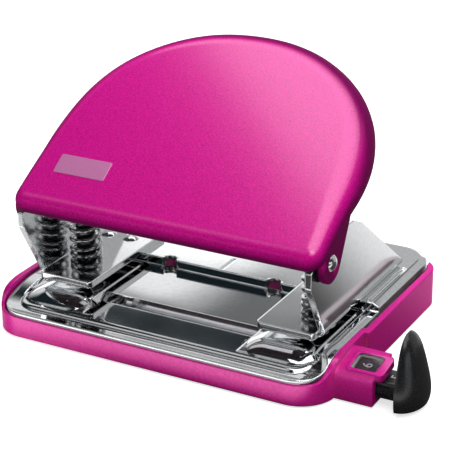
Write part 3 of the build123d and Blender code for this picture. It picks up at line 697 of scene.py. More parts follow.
# %% Geometry tree: closed-end spring
WIRE_POINTS = 240
WIRE_SIDES = 12
spring_tree, given, spring_out, spring_ids = new_geometry_tree(
    "closed_end_spring",
    [
        ("Radius", FLOAT, 4.65 * MM),
        ("Wire", FLOAT, 1.05 * MM),
        ("Length", FLOAT, 20 * MM),
        ("Turns", FLOAT, 7.0),
        ("Closed Turns", FLOAT, 1.0),
        ("Centre", VECTOR, (0.0, 0.0, 0.0)),
        ("Finish", MATERIAL, None),
    ],
)
line = add_node(spring_tree, "GeometryNodeCurvePrimitiveLine")
points = add_node(spring_tree, "GeometryNodeResampleCurve", inputs={"Count": WIRE_POINTS})
join(spring_tree, line.outputs[0], points.inputs["Curve"])
share = add_node(spring_tree, "GeometryNodeSplineParameter").outputs["Factor"]
turn_now = calc(spring_tree, "MULTIPLY", share, given["Turns"])
angle = calc(spring_tree, "MULTIPLY", turn_now, 2 * pi)
print("tree:", spring_tree.name, "points:", WIRE_POINTS)

# %% Climb of the helix: closed turns rise by one wire, open turns share the rest
free_length = calc(spring_tree, "SUBTRACT", given["Length"], given["Wire"])
closed_climb = calc(spring_tree, "MULTIPLY", given["Turns"], given["Wire"])
open_climb = calc(spring_tree, "SUBTRACT", free_length, closed_climb)
open_end = calc(spring_tree, "SUBTRACT", given["Turns"], given["Closed Turns"])
open_share = add_node(spring_tree, "ShaderNodeMapRange", {"clamp": True})
feed(spring_tree, open_share, Value=turn_now, From_Min=given["Closed Turns"], From_Max=open_end)
opened = calc(spring_tree, "MULTIPLY", open_share.outputs[0], open_climb)
closed = calc(spring_tree, "MULTIPLY", turn_now, given["Wire"])
climb = calc(spring_tree, "ADD", opened, closed)
round_x = calc(spring_tree, "MULTIPLY", calc(spring_tree, "COSINE", angle), given["Radius"])
round_y = calc(spring_tree, "MULTIPLY", calc(spring_tree, "SINE", angle), given["Radius"])
lifted = calc(spring_tree, "MULTIPLY_ADD", given["Wire"], 0.5, climb)
print("climb nodes:", len(spring_tree.nodes))

# %% Wire swept along the helix
spot = add_node(spring_tree, "ShaderNodeCombineXYZ")
feed(spring_tree, spot, X=round_x, Y=round_y, Z=lifted)
centred_spot = add_node(spring_tree, "ShaderNodeVectorMath", {"operation": "ADD"})
join(spring_tree, spot.outputs[0], centred_spot.inputs[0])
join(spring_tree, given["Centre"], centred_spot.inputs[1])
wound = add_node(spring_tree, "GeometryNodeSetPosition")
feed(spring_tree, wound, Geometry=points.outputs[0], Position=centred_spot.outputs[0])
section = add_node(spring_tree, "GeometryNodeCurvePrimitiveCircle", inputs={"Resolution": WIRE_SIDES})
join(spring_tree, calc(spring_tree, "MULTIPLY", given["Wire"], 0.5), section.inputs["Radius"])
wire = add_node(spring_tree, "GeometryNodeCurveToMesh", inputs={"Fill Caps": True})
feed(spring_tree, wire, Curve=wound.outputs[0], Profile_Curve=section.outputs[0])
smooth = add_node(spring_tree, "GeometryNodeSetShadeSmooth")
join(spring_tree, wire.outputs[0], smooth.inputs["Geometry"])
end_tree(spring_tree, smooth.outputs[0], given["Finish"], spring_out)
print("tree:", spring_tree.name, "nodes:", len(spring_tree.nodes))

# %% [markdown]
# A tree runs as a modifier on an empty mesh.  Its result is then read from the
# evaluated object as a plain mesh, which is what moves with the punch.  The helper
# below does that for every tree in this script.

# %% Helper: run a geometry tree
def grow(name, tree, ids, **values):
    """Object whose mesh is the result of a geometry tree with these input values."""
    piece = mesh_object(name, [], [])
    modifier = piece.modifiers.new("grow", "NODES")
    modifier.node_group = tree
    for label, value in values.items():
        modifier[ids[label.replace("_", " ")]] = value
    bpy.context.view_layer.update()
    evaluated = piece.evaluated_get(bpy.context.evaluated_depsgraph_get())
    mesh = bpy.data.meshes.new_from_object(evaluated)
    mesh.name = name
    piece.modifiers.remove(modifier)
    piece.data = mesh
    return piece


print("trees can run")

# %% [markdown]
# Each spring stands on its bracket and ends under the washer of its pin, so its
# length is measured between the two.  When the handle is pressed, the pin slides
# down and the spring gets shorter without growing thicker.

# %% Springs in place
SPRING_OUTSIDE = 10.35 * MM
SPRING_WIRE = 1.25 * MM
SPRING_TURNS = 7.5
SPRING_CLOSED_TURNS = 1.3


def box_of(name):
    """Lowest and highest corner of a CAD node."""
    low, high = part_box(name)
    return Vector(low), Vector(high)


for side in ("left", "right"):
    low, high = box_of(f"{side}_spring")
    length = box_of(f"{side}_spring_washer")[0].z - low.z
    centre = Vector(((low.x + high.x) / 2, (low.y + high.y) / 2, low.z))
    spring = grow(
        f"{side}_coil_spring",
        spring_tree,
        spring_ids,
        Radius=(SPRING_OUTSIDE - SPRING_WIRE) / 2,
        Wire=SPRING_WIRE,
        Length=length,
        Turns=SPRING_TURNS,
        Closed_Turns=SPRING_CLOSED_TURNS,
        Centre=centre,
        Finish=spring_steel,
    )
    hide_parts(f"{side}_spring")
    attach(spring, "base")
    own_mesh(spring)
    print(spring.name, "faces:", len(spring.data.polygons), "length:", round(length / MM, 2), "mm")

# %% [markdown]
# ## Rubber mat
#
# The underside carries a rubber mat, so the punch doesn't slide.  Such mats are a
# thin sheet with a plain rim and rows of fine ribs inside it.  The ribs repeat, so
# Geometry Nodes set a row of them, and the rounded sheet and its rim are drawn round
# them by mesh code.

# %% Geometry tree: row of ribs
ribs_tree, given, ribs_out, ribs_ids = new_geometry_tree(
    "row_of_ribs",
    [
        ("Count", "NodeSocketInt", 20),
        ("Pitch", FLOAT, 3 * MM),
        ("Rib Size", VECTOR, (80 * MM, 1.2 * MM, 0.5 * MM)),
        ("First", VECTOR, (0.0, 0.0, 0.0)),
        ("Finish", MATERIAL, None),
    ],
)
step = add_node(ribs_tree, "ShaderNodeCombineXYZ")
join(ribs_tree, given["Pitch"], step.inputs["Y"])
row = add_node(ribs_tree, "GeometryNodeMeshLine", {"mode": "OFFSET"})
feed(ribs_tree, row, Count=given["Count"], Start_Location=given["First"], Offset=step.outputs[0])
rib = add_node(ribs_tree, "GeometryNodeMeshCube")
join(ribs_tree, given["Rib Size"], rib.inputs["Size"])
placed = add_node(ribs_tree, "GeometryNodeInstanceOnPoints")
feed(ribs_tree, placed, Points=row.outputs["Mesh"], Instance=rib.outputs["Mesh"])
end_tree(ribs_tree, placed.outputs[0], given["Finish"], ribs_out)
print("tree:", ribs_tree.name)

# %% Finish: rubber
RUBBER_DARK = (0.016, 0.016, 0.017)
RUBBER_LIGHT = (0.038, 0.038, 0.04)
mat_rubber, tree, shader, place = start_material("mat_rubber", RUBBER_LIGHT)
grain, _ = grain_colors(
    tree,
    shader,
    place,
    RUBBER_DARK,
    RUBBER_LIGHT,
    Fine_Scale=2000.0,
    Coarse_Scale=50.0,
    Roughness=0.68,
    Roughness_Swing=0.1,
)
add_bump(tree, shader, grain.outputs["Height"], strength=0.25, distance=0.2 * MM)
print("finish:", mat_rubber.name)

# %% [markdown]
# Several pieces from here on are solids through a stack of loops: each loop is one
# closed outline with the same number of points as the next, the sides join loop to
# loop, and the first and the last loop are closed by a cap.  The mat is the first of
# them.

# %% Helpers: solids from loops
CORNER_STEPS = 8


def rounded_loop(low, high, radius, z):
    """Points of a rectangle with rounded corners, anticlockwise seen from above."""
    points = []
    centres = (
        (high.x - radius, high.y - radius, 0),
        (low.x + radius, high.y - radius, pi / 2),
        (low.x + radius, low.y + radius, pi),
        (high.x - radius, low.y + radius, 1.5 * pi),
    )
    for cx, cy, start in centres:
        for i in range(CORNER_STEPS + 1):
            a = start + i * pi / 2 / CORNER_STEPS
            points.append((cx + radius * cos(a), cy + radius * sin(a), z))
    return points


def stack_loops(name, loops, smooth=False):
    """Closed solid through loops of equal length, from the first cap to the last."""
    count = len(loops[0])
    vertices = [p for loop in loops for p in loop]
    faces = [tuple(range(count))[::-1], tuple(range(len(vertices) - count, len(vertices)))]
    for ring in range(len(loops) - 1):
        for i in range(count):
            j = (i + 1) % count
            a, b = ring * count, (ring + 1) * count
            faces.append((a + i, a + j, b + j, b + i))
    return mesh_object(name, vertices, faces, smooth)


def mesh_from(work, name):
    """Object from an edited mesh, which is freed."""
    mesh = bpy.data.meshes.new(name)
    work.to_mesh(mesh)
    work.free()
    return link_object(name, mesh)


def join_pieces(name, pieces, finish):
    """Merge several mesh objects into one with one finish and drop the originals."""
    work = bmesh.new()
    for piece in pieces:
        work.from_mesh(piece.data)
        bpy.data.objects.remove(piece)
    joined = mesh_from(work, name)
    joined.data.materials.clear()
    joined.data.materials.append(finish)
    return joined


print("loop helpers ready")

# %% Mat sheet with its rim
RIB_HEIGHT = 0.5 * MM
RIM_WIDTH = 4.0 * MM
MAT_CORNER = 5.85 * MM
low, high = box_of("rubber_mat")
rim = Vector((RIM_WIDTH, RIM_WIDTH, 0))
inner_low, inner_high = low + rim, high - rim
inner_corner = MAT_CORNER - RIM_WIDTH
sheet = stack_loops(
    "mat_sheet",
    [
        rounded_loop(inner_low, inner_high, inner_corner, RIB_HEIGHT),
        rounded_loop(inner_low, inner_high, inner_corner, 0),
        rounded_loop(low, high, MAT_CORNER, 0),
        rounded_loop(low, high, MAT_CORNER, high.z),
    ],
)
print("sheet:", [round(size / MM, 1) for size in high - low], "mm")

# %% Ribs and mat together
RIB_PITCH = 2.4 * MM
RIB_WIDTH = 1.1 * MM
RIB_END_GAP = 1.0 * MM
rib_count = int((inner_high.y - inner_low.y - RIB_PITCH) / RIB_PITCH) + 1
middle = (low + high) / 2
ribs = grow(
    "mat_ribs",
    ribs_tree,
    ribs_ids,
    Count=rib_count,
    Pitch=RIB_PITCH,
    Rib_Size=(inner_high.x - inner_low.x - 2 * RIB_END_GAP, RIB_WIDTH, RIB_HEIGHT),
    First=Vector((middle.x, middle.y - (rib_count - 1) * RIB_PITCH / 2, RIB_HEIGHT / 2)),
    Finish=mat_rubber,
)
ribbed_mat = join_pieces("ribbed_mat", [sheet, ribs], mat_rubber)
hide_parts("rubber_mat")
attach(ribbed_mat, "tray")
print("ribs:", rib_count, "faces:", len(ribbed_mat.data.polygons))

# %% [markdown]
# ## Cover with its soft rim
#
# The cover is pressed from sheet.  At the front its rim is low and turns in a tight
# bend, where the ears hang from it, and round the rear arc the bend is wide and the
# rim grows deeper and swells outwards a little, so the hand meets no edge.  The CAD
# cover keeps one small rounding all round.  Here one section is swept round the
# outline: at each place the section gets its own rounding, depth and swell, and the
# sections are joined as closed loops.

# %% Cover sizes
COVER_TILT = radians(33)
COVER_NORMAL = Vector((0, -sin(COVER_TILT), cos(COVER_TILT)))
COVER_SLOPE = Vector((0, cos(COVER_TILT), sin(COVER_TILT)))
COVER_FRONT = Vector((0, -25.5, 41.5)) * MM
COVER_LENGTH = 76 * MM
COVER_SHEET = 1.5 * MM
COVER_CORNER = 5 * MM
COVER_HALF = box_of("handle_cover")[1].x
COVER_STRAIGHT = COVER_LENGTH - COVER_HALF


def on_cover(x, up, lift):
    """Point on the cover's face: x across, up along the slope, lift out of the face."""
    return COVER_FRONT + Vector((x, 0, 0)) + up * COVER_SLOPE + lift * COVER_NORMAL


print("cover:", round(2 * COVER_HALF / MM, 1), "mm wide,", round(COVER_LENGTH / MM, 1), "mm along its slope")

# %% Cover outline
FRONT_STEPS = 24
SIDE_STEPS = 16
CORNER_TURNS = 10
REAR_STEPS = 96


def straight_run(start, end, outward, steps):
    """Places from start up to, but without, end, each with its outward direction."""
    (x, up), (end_x, end_up) = start, end
    return [(x + (end_x - x) * i / steps, up + (end_up - up) * i / steps, *outward) for i in range(steps)]


def arc_run(x, up, radius, start, turn, steps):
    """Places along an arc, without its last one, each with its outward direction."""
    angles = [start + turn * i / steps for i in range(steps)]
    return [(x + radius * cos(a), up + radius * sin(a), cos(a), sin(a)) for a in angles]


def cover_outline():
    """The D-shaped outline as (x, up, outward x, outward up), anticlockwise."""
    front = COVER_HALF - COVER_CORNER
    return (
        straight_run((-front, 0), (front, 0), (0, -1), FRONT_STEPS)
        + arc_run(front, COVER_CORNER, COVER_CORNER, -pi / 2, pi / 2, CORNER_TURNS)
        + straight_run((COVER_HALF, COVER_CORNER), (COVER_HALF, COVER_STRAIGHT), (1, 0), SIDE_STEPS)
        + arc_run(0, COVER_STRAIGHT, COVER_HALF, 0, pi, REAR_STEPS)
        + straight_run((-COVER_HALF, COVER_STRAIGHT), (-COVER_HALF, COVER_CORNER), (-1, 0), SIDE_STEPS)
        + arc_run(-front, COVER_CORNER, COVER_CORNER, pi, pi / 2, CORNER_TURNS)
    )


outline = cover_outline()
print("cover outline:", len(outline), "places")

# %% [markdown]
# The rim's section changes along the outline in two ways.  Bend and depth grow with
# the distance from the front edge, by a smooth step.  The swell has a rhythm of its
# own, so it follows a smooth curve near a few evenly spaced values, which run from
# the front corner along the side to the rear end of the arc.

# %% Cover section
RIM_BEND = (4.4 * MM, 7.8 * MM)
RIM_DEPTH = (4.6 * MM, 9.2 * MM)
RIM_GROWTH = (3 * MM, 42 * MM)
RIM_SWELL = [v * MM for v in (0, 0, 0, 0.3, 2.1, 3.6, 3.4, 3.2, 2.5, 3.2)]
BEND_STEPS = 10
FLAT_MARGIN = 0.5 * MM


def smooth_step(value, start, end):
    """Smooth 0 to 1 as value goes from start to end."""
    t = min(max((value - start) / (end - start), 0), 1)
    return t * t * (3 - 2 * t)


def even_spline(values, place):
    """Smooth curve near evenly spaced values; place runs from 0 to 1 along it."""
    spans = len(values) - 3
    t = min(place * spans, spans - 1e-6)
    k = int(t)
    t -= k
    weights = ((1 - t) ** 3, 3 * t**3 - 6 * t**2 + 4, 3 * (t + t**2 - t**3) + 1, t**3)
    return sum(w * v for w, v in zip(weights, values[k : k + 4])) / 6


def rim_swell(x, up):
    """How far the rim swells outwards at a place of the outline."""
    along = up if up >= COVER_CORNER else 0
    if up >= COVER_STRAIGHT:
        along = COVER_STRAIGHT + COVER_HALF * atan2(up - COVER_STRAIGHT, abs(x))
    return even_spline(RIM_SWELL, along / (COVER_STRAIGHT + COVER_HALF * pi / 2))


def quarter_bend(radius, start):
    """Quarter arc from the face down to the rim, as (inset, drop) pairs."""
    turns = [i * pi / 2 / BEND_STEPS for i in range(BEND_STEPS + 1)]
    return [(start + radius * (1 - sin(t)), start + radius * (1 - cos(t))) for t in turns]


def cover_section(x, up):
    """Section of face and rim at a place of the outline: (inset, drop) pairs."""
    grown = smooth_step(up, *RIM_GROWTH)
    bend = RIM_BEND[0] + grown * (RIM_BEND[1] - RIM_BEND[0])
    depth = RIM_DEPTH[0] + grown * (RIM_DEPTH[1] - RIM_DEPTH[0])
    flat = bend + FLAT_MARGIN
    outside = [(flat, 0)] + quarter_bend(bend, 0) + [(0, depth)]
    inside = [(flat, COVER_SHEET)] + quarter_bend(bend - COVER_SHEET, COVER_SHEET) + [(COVER_SHEET, depth)]
    swell = rim_swell(x, up)
    return [(inset - swell, drop) for inset, drop in outside + inside[::-1]]


sections = [cover_section(x, up) for x, up, _, _ in outline]
print("cover section:", len(sections[0]), "points")

# %% Cover shell
cover_loops = [
    [
        on_cover(x - out_x * section[k][0], up - out_up * section[k][0], -section[k][1])
        for (x, up, out_x, out_up), section in zip(outline, sections)
    ]
    for k in range(len(sections[0]))
]
cover_shell = stack_loops("cover_shell", cover_loops, True)
print("cover shell:", len(cover_shell.data.polygons), "faces")

# %% [markdown]
# The two ears with their pivot holes are right in the CAD cover already, so they are
# taken from a copy of it.  A plane just under the face cuts the copy, and what isn't
# part of an ear is deleted: everything between the side walls and everything further
# up the slope.

# %% Ears of the cover
EAR_CUT = 4.5 * MM
EAR_LENGTH = 27.5 * MM
EAR_MARGIN = 0.1 * MM
MERGE_DISTANCE = 0.001 * MM


def cover_ears():
    """The two ears of the CAD cover, cut off just under its rim, as a mesh object."""
    work = bmesh.new()
    work.from_mesh(nodes["handle_cover"].data)
    bmesh.ops.remove_doubles(work, verts=work.verts, dist=MERGE_DISTANCE)
    everything = work.verts[:] + work.edges[:] + work.faces[:]
    cut = on_cover(0, 0, -EAR_CUT)
    bmesh.ops.bisect_plane(work, geom=everything, plane_co=cut, plane_no=COVER_NORMAL, clear_outer=True)
    rest = []
    for face in work.faces:
        middle = face.calc_center_median()
        between = abs(middle.x) < COVER_HALF - COVER_SHEET - EAR_MARGIN
        if between or (middle - COVER_FRONT).dot(COVER_SLOPE) > EAR_LENGTH:
            rest.append(face)
    bmesh.ops.delete(work, geom=rest, context="FACES")
    return mesh_from(work, "cover_ears")


ears = cover_ears()
print("ears:", len(ears.data.polygons), "faces")

# %% Shell and ears together
CREASE_ANGLE = radians(30)
soft_cover = join_pieces("soft_cover", [cover_shell, ears], cover_paint)
work = bmesh.new()
work.from_mesh(soft_cover.data)
bmesh.ops.recalc_face_normals(work, faces=work.faces)
for face in work.faces:
    face.smooth = True
for crease in work.edges:
    crease.smooth = len(crease.link_faces) == 2 and crease.calc_face_angle(0) < CREASE_ANGLE
work.to_mesh(soft_cover.data)
work.free()
print("soft cover:", len(soft_cover.data.polygons), "faces")

# %% [markdown]
# The powder coat asks the mesh for two values, shade and gloss.  Both come from the
# direction that each point faces while the handle is at rest, so they are worked out
# once and stay on the mesh.  Shade is painted shade: a point is darkened by how far
# it leans out of the face's direction, how far it looks to the rear and how far it
# looks down, so the rim, the rear faces and the underside carry it.  Gloss drops in
# the same places, and the front fold keeps a quarter of its gloss.

# %% Shade and gloss of the cover
SHADE_TURN = (0.1, 0.9)
GLOSS_TURN = (0.6, 0.95)
REARWARD = (-0.46, -0.02)
DOWNWARD = (-0.12, 0.35)
FRONT_FOLD = (0.62, 0.80)
FOLD_DULLING = 0.75
shade_values = soft_cover.data.attributes.new("shade", "FLOAT", "POINT")
gloss_values = soft_cover.data.attributes.new("gloss", "FLOAT", "POINT")
# Shade is painted shade for the rim, the rear faces and the underside.
for vertex in soft_cover.data.vertices:
    facing_out = vertex.normal.dot(COVER_NORMAL)
    rear_and_underside = max(smooth_step(vertex.normal.y, *REARWARD), smooth_step(-vertex.normal.z, *DOWNWARD))
    fold = smooth_step(-vertex.normal.y, *FRONT_FOLD)
    dull = max(1 - smooth_step(facing_out, *GLOSS_TURN), rear_and_underside)
    shade_values.data[vertex.index].value = max(1 - smooth_step(facing_out, *SHADE_TURN), rear_and_underside)
    gloss_values.data[vertex.index].value = (1 - FOLD_DULLING * fold) * (1 - dull)
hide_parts("handle_cover")
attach(soft_cover, "handle")
print("cover values:", len(shade_values.data), "points")

# %% [markdown]
# ## Die pads
#
# In front of each bracket the base is pressed up into a pad, domed towards the user,
# which leads the paper over the die.  Its shine runs in curved bands, because the
# dome mirrors the room from low to high.  It is drawn as loops of a rounded outline
# that step inwards while they climb an arc, and it lies over the flatter CAD pad.

# %% Die pads
PAD_LOW = Vector((24.9, -25.2, 0)) * MM
PAD_HIGH = Vector((49.4, -11.4, 0)) * MM
PAD_FOOT = 9.2 * MM
PAD_ARC = 13 * MM
PAD_LEAN = radians(38)
PAD_CORNER = 8.2 * MM
PAD_TOP_CORNER = 0.4 * MM
PAD_STEPS = 14


def pad_loop(sign, climb):
    """One loop of a pad; sign is its side, climb runs from 0 at the foot to 1."""
    lean = PAD_LEAN * (1 - climb)
    inset = PAD_ARC * (sin(PAD_LEAN) - sin(lean))
    height = PAD_FOOT + PAD_ARC * (cos(lean) - cos(PAD_LEAN))
    near, far = sorted((sign * (PAD_LOW.x + inset), sign * (PAD_HIGH.x - inset)))
    corner = max(PAD_CORNER - inset, PAD_TOP_CORNER)
    return rounded_loop(Vector((near, PAD_LOW.y + inset, 0)), Vector((far, PAD_HIGH.y, 0)), corner, height)


for side, sign in (("left", -1), ("right", 1)):
    pad_loops = [pad_loop(sign, i / PAD_STEPS) for i in range(PAD_STEPS + 1)]
    die_pad = stack_loops(f"{side}_die_pad", pad_loops, True)
    die_pad.data.materials.append(base_chrome)
    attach(die_pad, "base")
print("die pads:", round((PAD_HIGH.x - PAD_LOW.x) / MM, 1), "mm wide")

# %% [markdown]
# ## Badge plate
#
# A thin oblong plate lies on the left of the cover, just above the front lip.  It is
# left bare.  It is a flat form with rounded corners and a small bevel, drawn in the
# cover's own plane and then turned onto the slope, and its finish is a satin foil
# whose pink tint is a painted reflection of the coat round it.

# %% Finish: foil
# Pink tones: painted reflection of the magenta coat round the bare plate.
FOIL_DARK = (0.78, 0.24, 0.53)
FOIL_LIGHT = (0.95, 0.34, 0.69)
badge_foil, tree, shader, place = start_material("badge_foil", FOIL_LIGHT, metallic=0.5)
grain_colors(
    tree,
    shader,
    place,
    FOIL_DARK,
    FOIL_LIGHT,
    WIDE_SPREAD,
    Fine_Scale=2600.0,
    Coarse_Scale=150.0,
    Contrast=0.8,
    Roughness=0.4,
    Roughness_Swing=0.1,
)
print("finish:", badge_foil.name)

# %% Badge plate
PLATE_X = (-40.8 * MM, -23.2 * MM)
PLATE_UP = (13.0 * MM, 19.8 * MM)
PLATE_THICK = 0.16 * MM
PLATE_SINK = 0.05 * MM
PLATE_CORNER = 0.5 * MM
PLATE_BEVEL = 0.08 * MM
BEVEL_START = 0.6


def plate_loop(inset, lift):
    """One rounded loop of the badge plate, at a height over the cover."""
    low = Vector((PLATE_X[0] + inset, PLATE_UP[0] + inset, 0))
    high = Vector((PLATE_X[1] - inset, PLATE_UP[1] - inset, 0))
    return [on_cover(x, up, lift) for x, up, _ in rounded_loop(low, high, PLATE_CORNER - inset, 0)]


plate_loops = [
    plate_loop(0, -PLATE_SINK),
    plate_loop(0, BEVEL_START * PLATE_THICK),
    plate_loop(PLATE_BEVEL, PLATE_THICK),
]
badge_plate = stack_loops("badge_plate", plate_loops)
badge_plate.data.materials.append(badge_foil)
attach(badge_plate, "handle")
print("badge plate:", round((PLATE_X[1] - PLATE_X[0]) / MM, 1), "mm long")

# %% [markdown]
# ## Scale under the window
#
# Under the lens lies a dark scale card with a figure for the paper size, and the bar
# has figures on its top.  Plain figures are enough.  Text is made with Blender's own
# font, turned into a mesh, and only then put in its place, so its object stays at
# the origin.

# %% Finishes: print and scale
PRINT_DARK = (0.74, 0.73, 0.74)
PRINT_LIGHT = (0.9, 0.9, 0.9)
CARD_DARK = (0.02, 0.006, 0.012)
CARD_LIGHT = (0.045, 0.016, 0.03)


def printed(name, dark, light, roughness, fine, coarse, contrast):
    """Matt print or card: two close tones in a fine grain, and an even roughness."""
    material, tree, shader, place = start_material(name, light)
    grain_colors(
        tree,
        shader,
        place,
        dark,
        light,
        Fine_Scale=fine,
        Coarse_Scale=coarse,
        Contrast=contrast,
        Roughness=roughness,
        Roughness_Swing=0.0,
    )
    return material


print_white = printed(
    "print_white", PRINT_DARK, PRINT_LIGHT, roughness=0.5, fine=4000.0, coarse=300.0, contrast=0.8
)
scale_dark = printed(
    "scale_dark", CARD_DARK, CARD_LIGHT, roughness=0.4, fine=2500.0, coarse=120.0, contrast=1.0
)
print("finishes:", print_white.name, scale_dark.name)

# %% Helper: a figure as a mesh
FIGURE_SHARE = 0.7
FIGURE_DEPTH = 0.03 * MM
FIGURE_CURVE_STEPS = 4
ACROSS = Vector((1, 0, 0))
AWAY = Vector((0, 1, 0))


def figure(name, text, height, origin, right, up):
    """Text mesh with its middle at origin, in the plane of two unit vectors."""
    curve = bpy.data.curves.new(name, "FONT")
    curve.body = text
    curve.align_x = "CENTER"
    curve.align_y = "CENTER"
    curve.size = height / FIGURE_SHARE
    curve.extrude = FIGURE_DEPTH
    curve.resolution_u = FIGURE_CURVE_STEPS
    source = link_object(name, curve)
    bpy.context.view_layer.update()
    evaluated = source.evaluated_get(bpy.context.evaluated_depsgraph_get())
    mesh = bpy.data.meshes.new_from_object(evaluated)
    bpy.data.objects.remove(source)
    basis = Matrix((right, up, right.cross(up))).transposed().to_4x4()
    mesh.transform(Matrix.Translation(origin) @ basis)
    mesh.materials.clear()
    mesh.materials.append(print_white)
    return link_object(name, mesh)


print("figures can be set")

# %% Scale card and its figure
LENS_RUN = 8.8 * MM
LENS_RISE = 1.6 * MM
CARD_HALF = (3.1 * MM, 2.9 * MM)
CARD_THICK = 0.3 * MM
CARD_DEPTH = 0.75 * MM
WINDOW_FIGURE = 3.0 * MM
PRINT_LIFT = 0.04 * MM
lens_low, lens_high = box_of("guide_window")
lens_slope = Vector((0, LENS_RUN, LENS_RISE)).normalized()
lens_normal = ACROSS.cross(lens_slope)
under_lens = (lens_low + lens_high) / 2 - CARD_DEPTH * lens_normal
card_corners = [
    under_lens + x * CARD_HALF[0] * ACROSS + y * CARD_HALF[1] * lens_slope - drop * lens_normal
    for drop in (CARD_THICK, 0)
    for x, y in SQUARE
]
card_faces = [(3, 2, 1, 0), (4, 5, 6, 7)] + [(i, (i + 1) % 4, (i + 1) % 4 + 4, i + 4) for i in range(4)]
scale_card = mesh_object("scale_card", card_corners, card_faces)
scale_card.data.materials.append(scale_dark)
figure_place = under_lens + PRINT_LIFT * lens_normal
window_figure = figure("window_figure", "6", WINDOW_FIGURE, figure_place, lens_slope, -ACROSS)
for piece in (scale_card, window_figure):
    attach(piece, "tray")
print("window figure at:", [round(v / MM, 1) for v in under_lens])

# %% Figures on the bar
BAR_FIGURES = {"5": 71.6 * MM, "4": 46.0 * MM, "3": 22.0 * MM}
BAR_FIGURE_HEIGHT = 3.4 * MM
BAR_PRINT_LIFT = 0.01 * MM
bar_low, bar_high = box_of("guide_bar")
bar_middle = (bar_low.y + bar_high.y) / 2
bar_figures = []
for text, x in BAR_FIGURES.items():
    spot = Vector((x, bar_middle, bar_high.z + BAR_PRINT_LIFT))
    bar_figures.append(figure(f"bar_figure_{text}", text, BAR_FIGURE_HEIGHT, spot, AWAY, -ACROSS))
bar_marks = join_pieces("bar_marks", bar_figures, print_white)
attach(bar_marks, "guide")
print("bar marks:", len(bar_marks.data.polygons), "faces")

# %% [markdown]
# ## Studio
#
# Chrome shows its surroundings, so the studio is built as surroundings, painted on
# the sky by direction alone.  Behind the punch stands a grey wall, a little lighter
# low down, and a white screen with a slanted edge stands before its left part.  Both
# end at a sill that runs slightly downhill to the left.  A narrow dark gap follows,
# and above it hangs a long white box.  The flat parts of the base mirror the wall
# and the screen, the sloping apron in front of them falls into the dark gap, and the
# front flange takes the white box.  Four more soft panels stand in front and on the
# right, for the brackets, the springs and the rims.

# %% World: directions
world = bpy.data.worlds.new("studio")
world.use_nodes = True
bpy.context.scene.world = world
tree = world.node_tree
direction = add_node(tree, "ShaderNodeTexCoord").outputs["Generated"]
axes = add_node(tree, "ShaderNodeSeparateXYZ")
join(tree, direction, axes.inputs[0])
elevation = times(tree, calc(tree, "ARCSINE", axes.outputs["Z"]), degrees(1))
leftness = times(tree, axes.outputs["X"], -1.0)
azimuth = times(tree, calc(tree, "ARCTAN2", leftness, axes.outputs["Y"]), degrees(1))
print("azimuth counts from the rear to the left, in degrees")

# %% World: wall, screen and white box
SILL_SLOPE = 0.25
WALL_TOP = (33.75, 33.5)
WALL_STEP = (32.1, 31.3)
WALL_LEVELS = (0.15, 0.51)
WALL_SIDES = (80.0, 55.0)
SCREEN_TOP = (33.6, 33.1)
SCREEN_SIDE = (75.0, 50.0)
SCREEN_SLOPE = -2.0
SCREEN_EDGE = (-23.1, -18.4)
SCREEN_LIGHT = 0.84
BOX_FOOT = (34.85, 35.05)
BOX_TOP = (48.0, 36.0)
BOX_LIGHT = 0.8
behind = fade(tree, calc(tree, "ABSOLUTE", azimuth), *WALL_SIDES)
sill = calc(tree, "MULTIPLY_ADD", azimuth, SILL_SLOPE, elevation)
low_wall = fade(tree, sill, *WALL_STEP)
wall_level = calc(tree, "MULTIPLY_ADD", low_wall, WALL_LEVELS[1] - WALL_LEVELS[0], WALL_LEVELS[0])
wall_light = times(tree, fade(tree, sill, *WALL_TOP), behind, wall_level)
slanted = calc(tree, "MULTIPLY_ADD", elevation, SCREEN_SLOPE, azimuth)
screen_across = times(tree, fade(tree, slanted, *SCREEN_EDGE), fade(tree, azimuth, *SCREEN_SIDE))
screen_light = times(tree, screen_across, fade(tree, sill, *SCREEN_TOP), SCREEN_LIGHT)
box_light = times(tree, fade(tree, sill, *BOX_FOOT), fade(tree, elevation, *BOX_TOP), behind, BOX_LIGHT)
studio_light = calc(tree, "ADD", calc(tree, "ADD", wall_light, screen_light), box_light)
print("backdrop nodes:", len(tree.nodes))

# %% World: side panels and the dark room
SIDE_PANELS = {
    "front left, high": {"across": (112, 172), "up": (40, 66), "soft": 14, "light": 0.7},
    "front right, high": {"across": (-158, -108), "up": (38, 64), "soft": 6, "light": 2.8},
    "front left, low": {"across": (138, 176), "up": (0, 15), "soft": 3, "light": 0.9},
    "right, low": {"across": (-128, -92), "up": (-2, 14), "soft": 4, "light": 1.2},
}
ROOM_DARK = (0.010, 0.017, 0.021)
LIGHT_WHITE = (1.0, 0.995, 0.99)


def between(value, limits, soft):
    """1 where a value lies between two limits, with soft edges."""
    start, end = limits
    rise = fade(tree, value, start - soft, start + soft)
    return times(tree, rise, fade(tree, value, end + soft, end - soft))


for panel in SIDE_PANELS.values():
    across = between(azimuth, panel["across"], panel["soft"])
    upwards = between(elevation, panel["up"], panel["soft"])
    studio_light = calc(tree, "ADD", studio_light, times(tree, across, upwards, panel["light"]))
white_light = add_node(tree, "ShaderNodeVectorMath", {"operation": "SCALE"}, {0: LIGHT_WHITE})
join(tree, studio_light, white_light.inputs["Scale"])
room = add_node(tree, "ShaderNodeVectorMath", {"operation": "ADD"}, {1: ROOM_DARK})
join(tree, white_light.outputs[0], room.inputs[0])
join(tree, room.outputs[0], tree.nodes["Background"].inputs["Color"])
print("world nodes:", len(tree.nodes))

# %% [markdown]
# ## Key light
#
# One large soft box hangs over the cover to its rear right.  The left edge of its
# reflection crosses the cover as a soft diagonal between a bright and a deeper
# field, so the lamp is placed by that edge: two points give the edge, a direction
# gives the side on which the box lies, and the lamp's axes follow from both.

